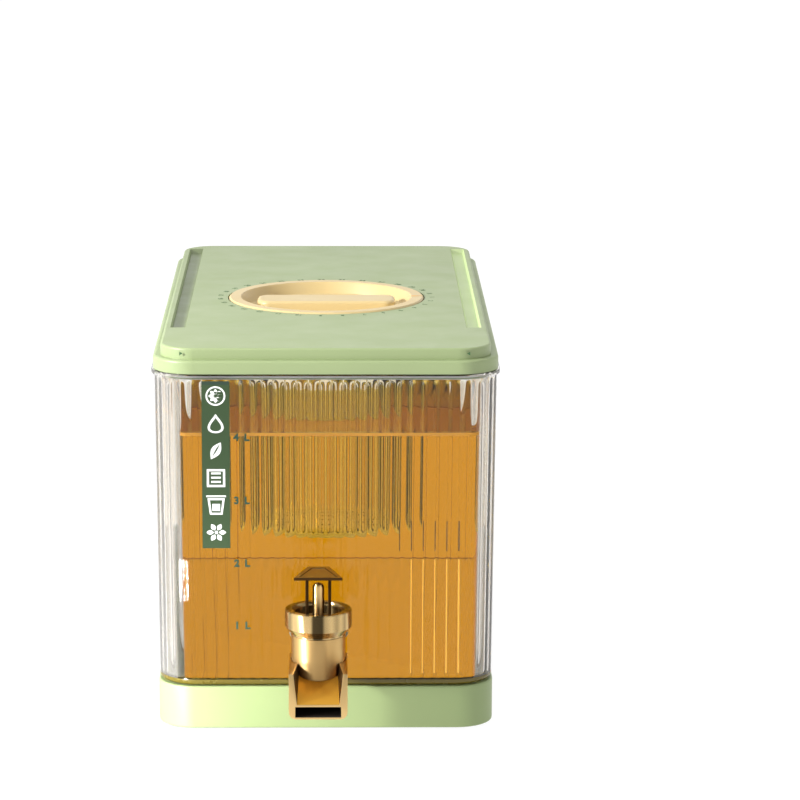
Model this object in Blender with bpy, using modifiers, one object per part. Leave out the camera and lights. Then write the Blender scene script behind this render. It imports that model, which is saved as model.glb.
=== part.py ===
"""Fridge drink dispenser: clear tank on a plinth, two-tier lid, twist cap, infuser basket, lever tap.

X runs across the jug, Y from the tap (-Y) to the back, Z up from the surface that it stands on.
"""

import math

import bmesh
import bpy
from mathutils import Matrix, Vector

MM = 0.001
GAP = 0.3 * MM  # clearance that touching pieces keep
PAST = 10 * MM  # how far a cutter reaches beyond what it cuts

# Lid: a wide lower tier, a narrower upper tier and the plate on top of it
LID_WIDTH = 144.0 * MM
LID_DEPTH = 277.4 * MM
LID_CORNER = 17.5 * MM
TIER_STEP = 3.1 * MM
LID_BOTTOM = 152.8 * MM
TIER_TOP = 158.4 * MM
PLATE_TOP = 163.2 * MM
LID_WALL = 2.2 * MM
PLATE_THICKNESS = 3.0 * MM
PLUG_BOTTOM = 150.0 * MM  # the wall inside the tank's mouth, with a hook under the gasket
PLUG_TOP = 157.0 * MM
PLUG_INSET = 2.8 * MM  # from the mouth's wall to the plug's
PLUG_WALL = 1.8 * MM
HOOK_TOP = 150.6 * MM
HOOK_REACH = 1.2 * MM
GASKET_HEIGHT = 1.7 * MM
SCOOP_WIDTH = 6.4 * MM
SCOOP_DEPTH = 2.0 * MM
SCOOP_EDGE = 2.6 * MM  # rim left outside each finger scoop
SCOOP_FRONT = 48.0 * MM  # behind the plate's front edge
SCOOP_BACK = 10.0 * MM
SCOOP_SLOPE = Vector((1.5, 6.0)) * MM  # by which a scoop's floor is smaller than its mouth

# Tank
TANK_TOP_SIZE = Vector((143.0, 276.4)) * MM
TANK_BOTTOM_SIZE = Vector((140.4, 273.8)) * MM
TANK_CORNER = 16.5 * MM
TANK_WALL = 2.4 * MM
TANK_FLOOR = 3.5 * MM
TANK_BOTTOM = 19.3 * MM
TANK_TOP = 152.5 * MM
TANK_FOOT_ROUND = 5.0 * MM
TANK_INNER_ROUND = 4.0 * MM
LIP_SIZE = Vector((145.4, 278.8)) * MM
LIP_THICKNESS = 1.8 * MM
LOCATOR_SIZE = Vector((116.0, 250.0)) * MM  # raised pad of the plinth, in a recess under the tank
LOCATOR_HEIGHT = 1.2 * MM
LOCATOR_CORNER = 7.5 * MM

# Plinth
BASE_SIZE = Vector((141.2, 274.6)) * MM
BASE_BOTTOM = 0.8 * MM
BASE_TOP = 19.0 * MM
BASE_CORNER = 15.6 * MM
BASE_WALL = 2.2 * MM
BASE_EDGE = 0.8 * MM
BOSS_RADIUS = 9.0 * MM
FOOT_RADIUS = 7.5 * MM
FOOT_THICKNESS = 1.7 * MM
FOOT_EDGE = 0.4 * MM
FOOT_INSET = 17.0 * MM

# Tap, hung on the front wall a little left of the middle
TAP_X = -3.0 * MM
TAP_REACH = 24.5 * MM  # from the lid's front plane to the valve's axis
SPOUT_REACH = 48.6 * MM
SHANK_Z = 41.0 * MM
SHANK_RADIUS = 7.5 * MM
SHANK_INNER = 15.0 * MM  # its length behind the lid's front plane
FLANGE_RADIUS = 10.8 * MM
PORT_RADIUS = 8.0 * MM
NUT_RADIUS = 12.4 * MM
NUT_HEIGHT = 6.0 * MM
WASHER_RADIUS = 10.6 * MM
WASHER_THICKNESS = 1.6 * MM
INLET_RADIUS = 4.0 * MM
BARREL_RADIUS = 11.15 * MM
BARREL_BOTTOM = 31.3 * MM
BARREL_SHOULDER = 49.0 * MM
NECK_RADIUS = 9.6 * MM  # enters the collar, with a groove for the O-ring
NECK_GROOVE = 8.5 * MM
NECK_TOP = 51.1 * MM
CHAMBER_RADIUS = 7.4 * MM
VALVE_SEAT = 36.0 * MM
SEAT_BORE = 4.6 * MM
COLLAR_RADIUS = 13.75 * MM
COLLAR_TOP = 59.8 * MM
COLLAR_ROOF = 51.4 * MM  # underside of the collar's floor, over the valve chamber
WELL_RADIUS = 9.55 * MM
WELL_FLOOR = 53.2 * MM
STEM_RADIUS = 2.4 * MM
STEM_TOP = 70.7 * MM
STEM_BOTTOM = 38.0 * MM
PLUG_SHOULDER = 40.0 * MM  # where the spring stands on the valve's plug
PIN_Z = 56.7 * MM
PIN_RADIUS = 0.8 * MM
PADDLE_TOP = 76.2 * MM
PADDLE_THICKNESS = 1.2 * MM
PADDLE_FRONT = Vector((9.9, -13.8)) * MM  # half width and place of its near edge, from the pin
PADDLE_BACK = Vector((4.35, 4.9)) * MM
LEG_X = 4.65 * MM
LEG_THICKNESS = 1.0 * MM
SPOUT_HALF_WIDTH = 11.95 * MM
SPOUT_BOTTOM = 19.5 * MM
SPOUT_TOP = 38.5 * MM
SPOUT_BACK = 16.0 * MM
SPOUT_SOCKET_FLOOR = 31.0 * MM
TROUGH_LIP = 25.7 * MM  # height of the trough's floor at its front end
TROUGH_SLOPE = 0.5
CHANNEL_SIZE = Vector((18.6, 32.0)) * MM
CHANNEL_HEIGHTS = (20.4 * MM, 24.7 * MM)

# Cap and basket, on one axis a little in front of the lid's middle
CAP_AHEAD = 11.7 * MM
CAP_RADIUS = 43.45 * MM
CAP_TOP = 163.8 * MM
CAP_BOTTOM = 156.3 * MM
CAP_FLOOR = 1.6 * MM
BAR_SIZE = Vector((61.5, 18.5)) * MM  # the cap's bar handle
BAR_CORNER = 5.5 * MM
BAR_TOP = 162.9 * MM
LID_BORE = 44.0 * MM
LEDGE_TOP = 152.0 * MM
LEDGE_BORE = 38.5 * MM
BASKET_RADIUS = 36.5 * MM
BASKET_TAPER = 0.5 * MM
BASKET_WALL = 1.8 * MM
BASKET_FLOOR = 2.2 * MM
BASKET_BOTTOM = 62.0 * MM
BASKET_RIM = 43.3 * MM
BASKET_TOP = 154.1 * MM
BASKET_SLOTS = 18
SLOT_WIDTH = 2.6 * MM
SLOT_ROWS = ((68 * MM, 103 * MM), (108 * MM, 146 * MM))

# The origin is the middle of the whole footprint, spout and lip included
JUG_Y = (SPOUT_REACH - (LIP_SIZE.y - LID_DEPTH) / 2) / 2
FRONT_Y = JUG_Y - LID_DEPTH / 2
TAP = Vector((TAP_X, FRONT_Y - TAP_REACH, 0))
CAP_AXIS = Vector((0, JUG_Y - CAP_AHEAD, 0))
JUG = Vector((0, JUG_Y, 0))
PIN = Vector((TAP_X, TAP.y, PIN_Z))
FORWARD = Matrix.Rotation(math.pi / 2, 4, "X")  # turns a +Z axis to -Y

for old in list(bpy.data.objects):
    bpy.data.objects.remove(old, do_unlink=True)


def new_collection(name):
    collection = bpy.data.collections.new(name)
    bpy.context.scene.collection.children.link(collection)
    return collection


PARTS = new_collection("drink_dispenser")
HELPERS = new_collection("cutters_and_additions")


def material(name, colour, roughness, metallic=0.0, transmission=0.0):
    made = bpy.data.materials.new(name)
    made.use_nodes = True
    shader = made.node_tree.nodes["Principled BSDF"]
    shader.inputs["Base Color"].default_value = (*colour, 1)
    shader.inputs["Roughness"].default_value = roughness
    shader.inputs["Metallic"].default_value = metallic
    shader.inputs["Transmission Weight"].default_value = transmission
    made.diffuse_color = (*colour, 1)
    return made


CLEAR = material("clear_plastic", (0.92, 0.93, 0.9), 0.06, transmission=0.9)
GREEN = material("pale_green_plastic", (0.55, 0.66, 0.39), 0.4)
CREAM = material("cream_plastic", (1.0, 0.8, 0.42), 0.35)
GOLD = material("gold_plating", (0.85, 0.62, 0.28), 0.12, metallic=1.0)
STEEL = material("stainless_wire", (0.6, 0.6, 0.6), 0.3, metallic=1.0)
SILICONE = material("silicone", (0.85, 0.85, 0.82), 0.6)
NUT_PLASTIC = material("white_plastic", (0.8, 0.8, 0.78), 0.45)
RUBBER = material("foot_rubber", (0.12, 0.12, 0.12), 0.8)


def add_object(name, mesh, origin, paint):
    """A part when it has a paint, else a helper that another part's Boolean uses."""
    made = bpy.data.objects.new(name, mesh)
    made.matrix_world = Matrix.Translation(origin)
    if paint is None:
        HELPERS.objects.link(made)
        made.hide_render = True
        made.display_type = "WIRE"
    else:
        PARTS.objects.link(made)
        mesh.materials.append(paint)
        mesh.shade_smooth()
        mesh.set_sharp_from_angle(angle=math.radians(35))
    return made


def mesh_of(name, bm):
    bmesh.ops.recalc_face_normals(bm, faces=bm.faces)
    mesh = bpy.data.meshes.new(name)
    bm.to_mesh(mesh)
    bm.free()
    return mesh


def combine(target, operation, *helpers):
    for helper in helpers:
        step = target.modifiers.new(helper.name, "BOOLEAN")
        step.operation = operation
        step.solver = "EXACT"
        step.object = helper


def round_edges(bm, chosen, radius, segments):
    edges = [edge for edge in bm.edges if chosen(edge)]
    bmesh.ops.bevel(bm, geom=edges, offset=radius, segments=segments, profile=0.5, affect="EDGES")


def level(edge, height):
    return all(abs(vert.co.z - height) < 1e-6 for vert in edge.verts)


def block(name, sizes, heights, corner, origin, paint=None, foot=0.0, top=0.0, segments=8):
    """A box with round upright corners; sizes and heights give its bottom and top."""
    bm = bmesh.new()
    bmesh.ops.create_cube(bm, size=1)
    for vert in bm.verts:
        end = int(vert.co.z > 0)
        vert.co = (vert.co.x * sizes[end].x, vert.co.y * sizes[end].y, heights[end])
    if corner:
        middle = (heights[0] + heights[1]) / 2
        crosses = lambda edge: (edge.verts[0].co.z - middle) * (edge.verts[1].co.z - middle) < 0
        round_edges(bm, crosses, corner, segments)
    for height, radius in zip(heights, (foot, top)):
        if radius:
            round_edges(bm, lambda edge: level(edge, height), radius, 3)
    return add_object(name, mesh_of(name, bm), origin, paint)


def turned(name, profile, origin, paint=None, steps=32, turn=None):
    """Turns a profile of (radius, height) points about the upright axis through the origin."""
    bm = bmesh.new()
    points = [bm.verts.new((radius, 0, height)) for radius, height in profile]
    on_axis = profile[0][0] == 0 and profile[-1][0] == 0
    ends = list(zip(points, points[1:] + points[:1]))
    for start, end in ends[:-1] if on_axis else ends:
        bm.edges.new((start, end))
    mesh = bpy.data.meshes.new(name)
    bm.to_mesh(mesh)
    bm.free()
    made = add_object(name, mesh, origin, paint)
    if turn is not None:
        made.matrix_world = made.matrix_world @ turn
    screw = made.modifiers.new("turn", "SCREW")
    screw.steps = steps
    screw.render_steps = steps
    screw.use_merge_vertices = True
    screw.merge_threshold = 0.00001
    return made


def cylinder(name, radius, bottom, top, origin, paint=None, steps=32, turn=None):
    profile = [(0, top), (radius, top), (radius, bottom), (0, bottom)]
    return turned(name, profile, origin, paint, steps, turn)


def ring(name, inner, outer, bottom, top, origin, paint=None, steps=32, turn=None):
    profile = [(inner, top), (outer, top), (outer, bottom), (inner, bottom)]
    return turned(name, profile, origin, paint, steps, turn)


def round_ring(name, radius, thickness, height, origin, paint, steps=28, sides=8):
    """An O-ring: its section's points run clockwise from the top."""
    angles = [math.pi / 2 - math.tau * i / sides for i in range(sides)]
    half = thickness / 2
    profile = [(radius + half * math.cos(a), height + half * math.sin(a)) for a in angles]
    return turned(name, profile, origin, paint, steps)


def rounded_outline(size, corner, arc_points=8):
    outline = []
    for quarter, (sx, sy) in enumerate(((1, 1), (-1, 1), (-1, -1), (1, -1))):
        centre = Vector((sx * (size.x / 2 - corner), sy * (size.y / 2 - corner)))
        for step in range(arc_points + 1):
            angle = math.pi / 2 * (quarter + step / arc_points)
            outline.append(centre + corner * Vector((math.cos(angle), math.sin(angle))))
    return outline


def prism(name, outlines, bottom, top, origin, paint=None, turn=None):
    """A flat outline, with any further outlines as its holes, extruded from bottom to top."""
    curve = bpy.data.curves.new(name, "CURVE")
    curve.dimensions = "2D"
    curve.fill_mode = "BOTH"
    curve.extrude = (top - bottom) / 2
    for outline in outlines:
        spline = curve.splines.new("POLY")
        spline.points.add(len(outline) - 1)
        for point, (x, y) in zip(spline.points, outline):
            point.co = (x, y, 0, 1)
        spline.use_cyclic_u = True
    flat = bpy.data.objects.new(name + "_outline", curve)
    HELPERS.objects.link(flat)
    graph = bpy.context.evaluated_depsgraph_get()
    mesh = bpy.data.meshes.new_from_object(flat.evaluated_get(graph))
    bpy.data.objects.remove(flat, do_unlink=True)
    bm = bmesh.new()
    bm.from_mesh(mesh)
    bmesh.ops.remove_doubles(bm, verts=bm.verts, dist=0.000001)
    bmesh.ops.translate(bm, verts=bm.verts, vec=(0, 0, (top + bottom) / 2))
    if turn is not None:
        bmesh.ops.transform(bm, matrix=turn, verts=bm.verts)
    return add_object(name, mesh_of(name, bm), origin, paint)


def frame_ring(name, size, corner, width, bottom, top, origin, paint=None):
    """A rounded rectangular ring with the given outer size."""
    outer = rounded_outline(size, corner)
    inner = rounded_outline(size - 2 * Vector((width, width)), corner - width)
    return prism(name, [outer, inner], bottom, top, origin, paint)


def tank_size(height, inset=0.0):
    share = (height - TANK_BOTTOM) / (TANK_TOP - TANK_BOTTOM)
    return TANK_BOTTOM_SIZE.lerp(TANK_TOP_SIZE, share) - 2 * Vector((inset, inset))


def build_tank():
    above = TANK_TOP + PAST
    heights = (TANK_BOTTOM, TANK_TOP - 0.4 * MM)
    sizes = [tank_size(height) for height in heights]
    tank = block("tank", sizes, heights, TANK_CORNER, JUG, CLEAR, foot=TANK_FOOT_ROUND)
    lip = prism(
        "tank_lip", [rounded_outline(LIP_SIZE, LID_CORNER)], TANK_TOP - LIP_THICKNESS, TANK_TOP, JUG
    )
    floor = TANK_BOTTOM + TANK_FLOOR
    sizes = [tank_size(height, TANK_WALL) for height in (floor, above)]
    cavity = block(
        "tank_cavity", sizes, (floor, above), TANK_CORNER - TANK_WALL, JUG,
        foot=TANK_INNER_ROUND,
    )
    recess_size = LOCATOR_SIZE + 2 * Vector((GAP, GAP))
    recess = block(
        "tank_recess",
        [recess_size, recess_size],
        (TANK_BOTTOM - PAST, TANK_BOTTOM + LOCATOR_HEIGHT),
        LOCATOR_CORNER + GAP,
        JUG,
        segments=4,
    )
    port = Vector((TAP_X, FRONT_Y, SHANK_Z))
    hole = cylinder("tank_port", PORT_RADIUS, -PAST, PAST, port, turn=FORWARD)
    combine(tank, "UNION", lip)
    combine(tank, "DIFFERENCE", cavity, recess, hole)


def corners(inset):
    """The four corners of the plinth: name and place."""
    x, y = (BASE_SIZE.x / 2 - inset, BASE_SIZE.y / 2 - inset)
    for side, sx in (("left", -1), ("right", 1)):
        for end, sy in (("front", -1), ("rear", 1)):
            yield f"{end}_{side}", JUG + Vector((sx * x, sy * y, 0))


def build_base():
    base = block(
        "base",
        [BASE_SIZE, BASE_SIZE],
        (BASE_BOTTOM, BASE_TOP),
        BASE_CORNER,
        JUG,
        GREEN,
        foot=BASE_EDGE,
        top=BASE_EDGE,
    )
    inner = BASE_SIZE - 2 * Vector((BASE_WALL, BASE_WALL))
    ceiling = BASE_TOP - BASE_WALL
    hollow = block(
        "base_hollow",
        [inner, inner],
        (BASE_BOTTOM - PAST, ceiling),
        BASE_CORNER - BASE_WALL,
        JUG,
        segments=4,
    )
    pad_heights = (BASE_TOP - 1 * MM, BASE_TOP + LOCATOR_HEIGHT)
    pad = block("base_pad", [LOCATOR_SIZE] * 2, pad_heights, LOCATOR_CORNER, JUG, segments=4)
    combine(base, "DIFFERENCE", hollow)
    combine(base, "UNION", pad)
    for corner, place in corners(FOOT_INSET):
        boss = cylinder(
            f"boss_{corner}", BOSS_RADIUS, FOOT_THICKNESS + GAP, ceiling + 1 * MM, place, steps=20
        )
        combine(base, "UNION", boss)
        profile = [
            (0, FOOT_THICKNESS),
            (FOOT_RADIUS, FOOT_THICKNESS),
            (FOOT_RADIUS, FOOT_EDGE),
            (FOOT_RADIUS - FOOT_EDGE, 0),
            (0, 0),
        ]
        turned(f"foot_{corner}", profile, place, RUBBER, steps=20)


def build_lid():
    lower_size = Vector((LID_WIDTH, LID_DEPTH))
    upper_size = lower_size - 2 * Vector((TIER_STEP, TIER_STEP))
    lid = block(
        "lid", [lower_size] * 2, (LID_BOTTOM, TIER_TOP), LID_CORNER, JUG, GREEN, top=1.2 * MM
    )
    upper = block(
        "lid_upper_tier",
        [upper_size] * 2,
        (TIER_TOP - 2 * MM, PLATE_TOP),
        LID_CORNER - TIER_STEP,
        JUG,
        top=1.0 * MM,
    )
    mouth = tank_size(TANK_TOP, TANK_WALL)
    plug_size = mouth - 2 * Vector((PLUG_INSET, PLUG_INSET))
    plug_corner = TANK_CORNER - TANK_WALL - PLUG_INSET
    hook_size = plug_size + 2 * Vector((HOOK_REACH, HOOK_REACH))
    plug_heights = (PLUG_BOTTOM, PLUG_TOP)
    plug = block("lid_plug", [hook_size] * 2, plug_heights, plug_corner + HOOK_REACH, JUG)
    wall = Vector((LID_WALL, LID_WALL))
    skirt = frame_ring(
        "lid_skirt_hollow",
        lower_size - 2 * wall,
        LID_CORNER - LID_WALL,
        (lower_size.x - plug_size.x) / 2 - LID_WALL,
        HOOK_TOP,
        TIER_TOP - LID_WALL,
        JUG,
    )
    hollow_size = plug_size - 2 * Vector((PLUG_WALL, PLUG_WALL))
    hollow = block(
        "lid_hollow",
        [hollow_size] * 2,
        (PLUG_BOTTOM - PAST, PLATE_TOP - PLATE_THICKNESS),
        plug_corner - PLUG_WALL,
        JUG,
        segments=4,
    )
    well_top = PLATE_TOP - PLATE_THICKNESS / 2
    well = cylinder("lid_well", LID_BORE + LID_WALL, PLUG_BOTTOM, well_top, CAP_AXIS, steps=48)
    bore_profile = [
        (0, PLATE_TOP + PAST),
        (LID_BORE, PLATE_TOP + PAST),
        (LID_BORE, LEDGE_TOP),
        (LEDGE_BORE, LEDGE_TOP),
        (LEDGE_BORE, PLUG_BOTTOM - PAST),
        (0, PLUG_BOTTOM - PAST),
    ]
    bore = turned("lid_bore", bore_profile, CAP_AXIS, steps=48)
    combine(lid, "UNION", upper, plug)
    combine(lid, "DIFFERENCE", skirt, hollow)
    combine(lid, "UNION", well)
    combine(lid, "DIFFERENCE", bore)

    scoop_length = upper_size.y - SCOOP_FRONT - SCOOP_BACK
    scoop_size = Vector((SCOOP_WIDTH, scoop_length))
    floor_size = scoop_size - SCOOP_SLOPE
    scoop_y = (SCOOP_FRONT - SCOOP_BACK) / 2
    for side, sx in (("left", -1), ("right", 1)):
        x = sx * (upper_size.x / 2 - SCOOP_EDGE - SCOOP_WIDTH / 2)
        heights = (PLATE_TOP - SCOOP_DEPTH, PLATE_TOP + 0.01 * MM)
        place = JUG + Vector((x, scoop_y, 0))
        scoop = block(f"lid_scoop_{side}", [floor_size, scoop_size], heights, 0, place)
        combine(lid, "DIFFERENCE", scoop)

    gasket_bottom = HOOK_TOP + GAP
    gasket_size = tank_size(gasket_bottom, TANK_WALL + GAP)
    gasket_width = (gasket_size.x - plug_size.x) / 2 - GAP
    frame_ring(
        "lid_gasket",
        gasket_size,
        plug_corner + GAP + gasket_width,
        gasket_width,
        gasket_bottom,
        gasket_bottom + GASKET_HEIGHT,
        JUG,
        SILICONE,
    )


def build_cap():
    """The twist cap: a flat rim around a bowl with a bar handle across it."""
    bowl_floor = CAP_BOTTOM + CAP_FLOOR
    profile = [
        (0, bowl_floor),
        (33.5 * MM, bowl_floor),
        (35.8 * MM, bowl_floor + 0.9 * MM),
        (37.6 * MM, CAP_TOP - 0.8 * MM),
        (38.2 * MM, CAP_TOP),
        (42.8 * MM, CAP_TOP),
        (CAP_RADIUS, CAP_TOP - 0.65 * MM),
        (CAP_RADIUS, CAP_BOTTOM),
        (41.2 * MM, CAP_BOTTOM),
        (41.2 * MM, CAP_TOP - 2.2 * MM),
        (39.7 * MM, CAP_TOP - 2.2 * MM),
        (37.4 * MM, CAP_BOTTOM),
        (0, CAP_BOTTOM),
    ]
    cap = turned("cap", profile, CAP_AXIS, CREAM, steps=56)
    heights = (CAP_BOTTOM + 0.5 * MM, BAR_TOP)
    bar = block("cap_bar", [BAR_SIZE] * 2, heights, BAR_CORNER, CAP_AXIS, top=1.5 * MM, segments=6)
    combine(cap, "UNION", bar)
    seal_bottom = 154.4 * MM
    ring("cap_seal", 39 * MM, 42.8 * MM, seal_bottom, 156 * MM, CAP_AXIS, SILICONE, steps=40)


def build_basket():
    """The infuser basket: its rim lies on the ledge in the lid, and the cap closes it."""
    inside = BASKET_RADIUS - BASKET_WALL
    floor = BASKET_BOTTOM + BASKET_FLOOR
    profile = [
        (0, floor),
        (inside - BASKET_TAPER, floor),
        (inside, BASKET_TOP),
        (BASKET_RIM, BASKET_TOP),
        (BASKET_RIM, LEDGE_TOP + GAP),
        (BASKET_RADIUS, LEDGE_TOP + GAP),
        (BASKET_RADIUS - BASKET_TAPER, BASKET_BOTTOM + 1 * MM),
        (BASKET_RADIUS - BASKET_TAPER - 1 * MM, BASKET_BOTTOM),
        (0, BASKET_BOTTOM),
    ]
    basket = turned("basket", profile, CAP_AXIS, CLEAR, steps=36)
    slot = Vector((2 * (BASKET_RADIUS + PAST), SLOT_WIDTH))
    for row, heights in enumerate(SLOT_ROWS):
        for i in range(BASKET_SLOTS // 2):
            cutter = block(f"slot_{row}_{i}", [slot] * 2, heights, 0, CAP_AXIS)
            turn = Matrix.Rotation(math.tau * (i + 0.5) / BASKET_SLOTS, 4, "Z")
            cutter.matrix_world = cutter.matrix_world @ turn
            combine(basket, "DIFFERENCE", cutter)


def build_tap_body():
    """The barrel with its threaded shank, the seals and the nut that clamp it to the tank."""
    groove_top = NECK_TOP - 0.8 * MM
    profile = [
        (0, NECK_TOP),
        (NECK_RADIUS, NECK_TOP),
        (NECK_RADIUS, groove_top),
        (NECK_GROOVE, groove_top),
        (NECK_GROOVE, BARREL_SHOULDER),
        (BARREL_RADIUS, BARREL_SHOULDER),
        (BARREL_RADIUS, BARREL_BOTTOM),
        (0, BARREL_BOTTOM),
    ]
    body = turned("tap_body", profile, TAP, GOLD, steps=36)
    shank_place = Vector((TAP_X, FRONT_Y, SHANK_Z))
    shank_start = TAP_REACH - CHAMBER_RADIUS + 1.4 * MM
    flange = (2.0 * MM, 4.5 * MM)
    shank_profile = [
        (0, shank_start),
        (SHANK_RADIUS, shank_start),
        (SHANK_RADIUS, flange[1]),
        (FLANGE_RADIUS, flange[1]),
        (FLANGE_RADIUS, flange[0]),
        (SHANK_RADIUS, flange[0]),
        (SHANK_RADIUS, -SHANK_INNER),
        (0, -SHANK_INNER),
    ]
    shank = turned("tap_shank", shank_profile, shank_place, steps=28, turn=FORWARD)
    chamber_profile = [
        (0, NECK_TOP + PAST),
        (CHAMBER_RADIUS, NECK_TOP + PAST),
        (CHAMBER_RADIUS, VALVE_SEAT),
        (SEAT_BORE, VALVE_SEAT),
        (SEAT_BORE, BARREL_BOTTOM - PAST),
        (0, BARREL_BOTTOM - PAST),
    ]
    chamber = turned("tap_chamber", chamber_profile, TAP, steps=28)
    inlet_place = shank_place + Vector((0, 0, 1.2 * MM))
    inlet = cylinder(
        "tap_inlet", INLET_RADIUS, -SHANK_INNER - PAST, TAP_REACH, inlet_place, steps=20, turn=FORWARD
    )
    combine(body, "UNION", shank)
    combine(body, "DIFFERENCE", chamber, inlet)

    share = (SHANK_Z - TANK_BOTTOM) / (TANK_TOP - TANK_BOTTOM)
    wall_front = TANK_BOTTOM_SIZE.lerp(TANK_TOP_SIZE, share).y / 2 - LID_DEPTH / 2
    bore = SHANK_RADIUS + GAP
    inside = wall_front - TANK_WALL - GAP
    for name, heights in (
        ("outer_washer", (wall_front + GAP, flange[0] - GAP)),
        ("inner_washer", (inside - WASHER_THICKNESS, inside)),
    ):
        ring(name, bore, WASHER_RADIUS, *heights, shank_place, SILICONE, steps=24, turn=FORWARD)
    nut_front = inside - WASHER_THICKNESS - GAP
    nut = cylinder(
        "locknut", NUT_RADIUS, nut_front - NUT_HEIGHT, nut_front, shank_place, NUT_PLASTIC, steps=6,
        turn=FORWARD,
    )
    nut_bore = cylinder(
        "locknut_bore", bore, nut_front - NUT_HEIGHT - PAST, nut_front + PAST, shank_place, steps=24,
        turn=FORWARD,
    )
    combine(nut, "DIFFERENCE", nut_bore)


def build_bonnet():
    """The collar that screws on the barrel; the lever works in its open well."""
    skirt = BARREL_RADIUS + 0.2 * MM
    profile = [
        (STEM_RADIUS + GAP, WELL_FLOOR),
        (WELL_RADIUS, WELL_FLOOR),
        (WELL_RADIUS, COLLAR_TOP - 1.1 * MM),
        (WELL_RADIUS + 0.3 * MM, COLLAR_TOP - 0.8 * MM),
        (WELL_RADIUS + 1.0 * MM, COLLAR_TOP - 0.8 * MM),
        (WELL_RADIUS + 1.3 * MM, COLLAR_TOP),
        (COLLAR_RADIUS - 0.4 * MM, COLLAR_TOP),
        (COLLAR_RADIUS, COLLAR_TOP - 0.4 * MM),
        (COLLAR_RADIUS, COLLAR_ROOF + 1.2 * MM),
        (skirt, BARREL_SHOULDER + 0.8 * MM),
        (skirt, BARREL_SHOULDER + GAP),
        (NECK_RADIUS + GAP, BARREL_SHOULDER + GAP),
        (NECK_RADIUS + GAP, COLLAR_ROOF),
        (STEM_RADIUS + GAP, COLLAR_ROOF),
    ]
    turned("tap_bonnet", profile, TAP, GOLD, steps=40)
    groove_middle = (BARREL_SHOULDER + NECK_TOP - 0.8 * MM) / 2
    ring_radius = NECK_GROOVE + 0.7 * MM
    round_ring("bonnet_o_ring", ring_radius, 0.7 * MM, groove_middle, TAP, SILICONE, sides=6)


def build_spout():
    """The square spout under the barrel: an open trough on top, the outlet channel below it."""
    middle = Vector((TAP_X, FRONT_Y - (SPOUT_BACK + SPOUT_REACH) / 2, 0))
    size = Vector((2 * SPOUT_HALF_WIDTH, SPOUT_REACH - SPOUT_BACK))
    bm = bmesh.new()
    bmesh.ops.create_cube(bm, size=1)
    for vert in bm.verts:
        height = SPOUT_TOP if vert.co.z > 0 else SPOUT_BOTTOM
        vert.co = (vert.co.x * size.x, vert.co.y * size.y, height)
    along = lambda edge: abs(edge.verts[0].co.y - edge.verts[1].co.y) > size.y / 2
    round_edges(bm, lambda edge: along(edge) and level(edge, SPOUT_BOTTOM), 3.0 * MM, 4)
    spout = add_object("spout", mesh_of("spout", bm), middle, GOLD)

    # The trough narrows downwards, and its floor falls and widens towards the lip.
    ends = ((22.0 * MM, 7.6 * MM), (SPOUT_REACH + 2 * MM, 8.7 * MM))
    bm = bmesh.new()
    bmesh.ops.create_cube(bm, size=1)
    for vert in bm.verts:
        ahead, half = ends[int(vert.co.y < 0)]
        height = TROUGH_LIP + TROUGH_SLOPE * (SPOUT_REACH - ahead)
        if vert.co.z > 0:
            half = SPOUT_HALF_WIDTH - 1.3 * MM
            height = SPOUT_TOP + 3 * MM
        vert.co = (math.copysign(half, vert.co.x), -ahead, height)
    bmesh.ops.triangulate(bm, faces=bm.faces)
    place = Vector((TAP_X, FRONT_Y, 0))
    trough = add_object("spout_trough", mesh_of("spout_trough", bm), place, None)

    outlet_bore = 7.0 * MM
    outlet_floor = CHANNEL_HEIGHTS[0] + 1.6 * MM
    socket_profile = [
        (0, SPOUT_TOP + PAST),
        (BARREL_RADIUS + GAP, SPOUT_TOP + PAST),
        (BARREL_RADIUS + GAP, SPOUT_SOCKET_FLOOR),
        (outlet_bore, SPOUT_SOCKET_FLOOR),
        (outlet_bore, outlet_floor),
        (0, outlet_floor),
    ]
    socket = turned("spout_socket", socket_profile, TAP, steps=36)
    shank_place = Vector((TAP_X, FRONT_Y, SHANK_Z))
    saddle = cylinder(
        "spout_saddle", SHANK_RADIUS + GAP, PAST, 2 * PAST, shank_place, steps=28, turn=FORWARD
    )
    channel_middle = FRONT_Y - SPOUT_REACH - 2 * MM + CHANNEL_SIZE.y / 2
    channel_place = Vector((TAP_X, channel_middle, 0))
    channel = block("spout_channel", [CHANNEL_SIZE] * 2, CHANNEL_HEIGHTS, 0, channel_place)
    combine(spout, "DIFFERENCE", trough, socket, saddle, channel)


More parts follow.
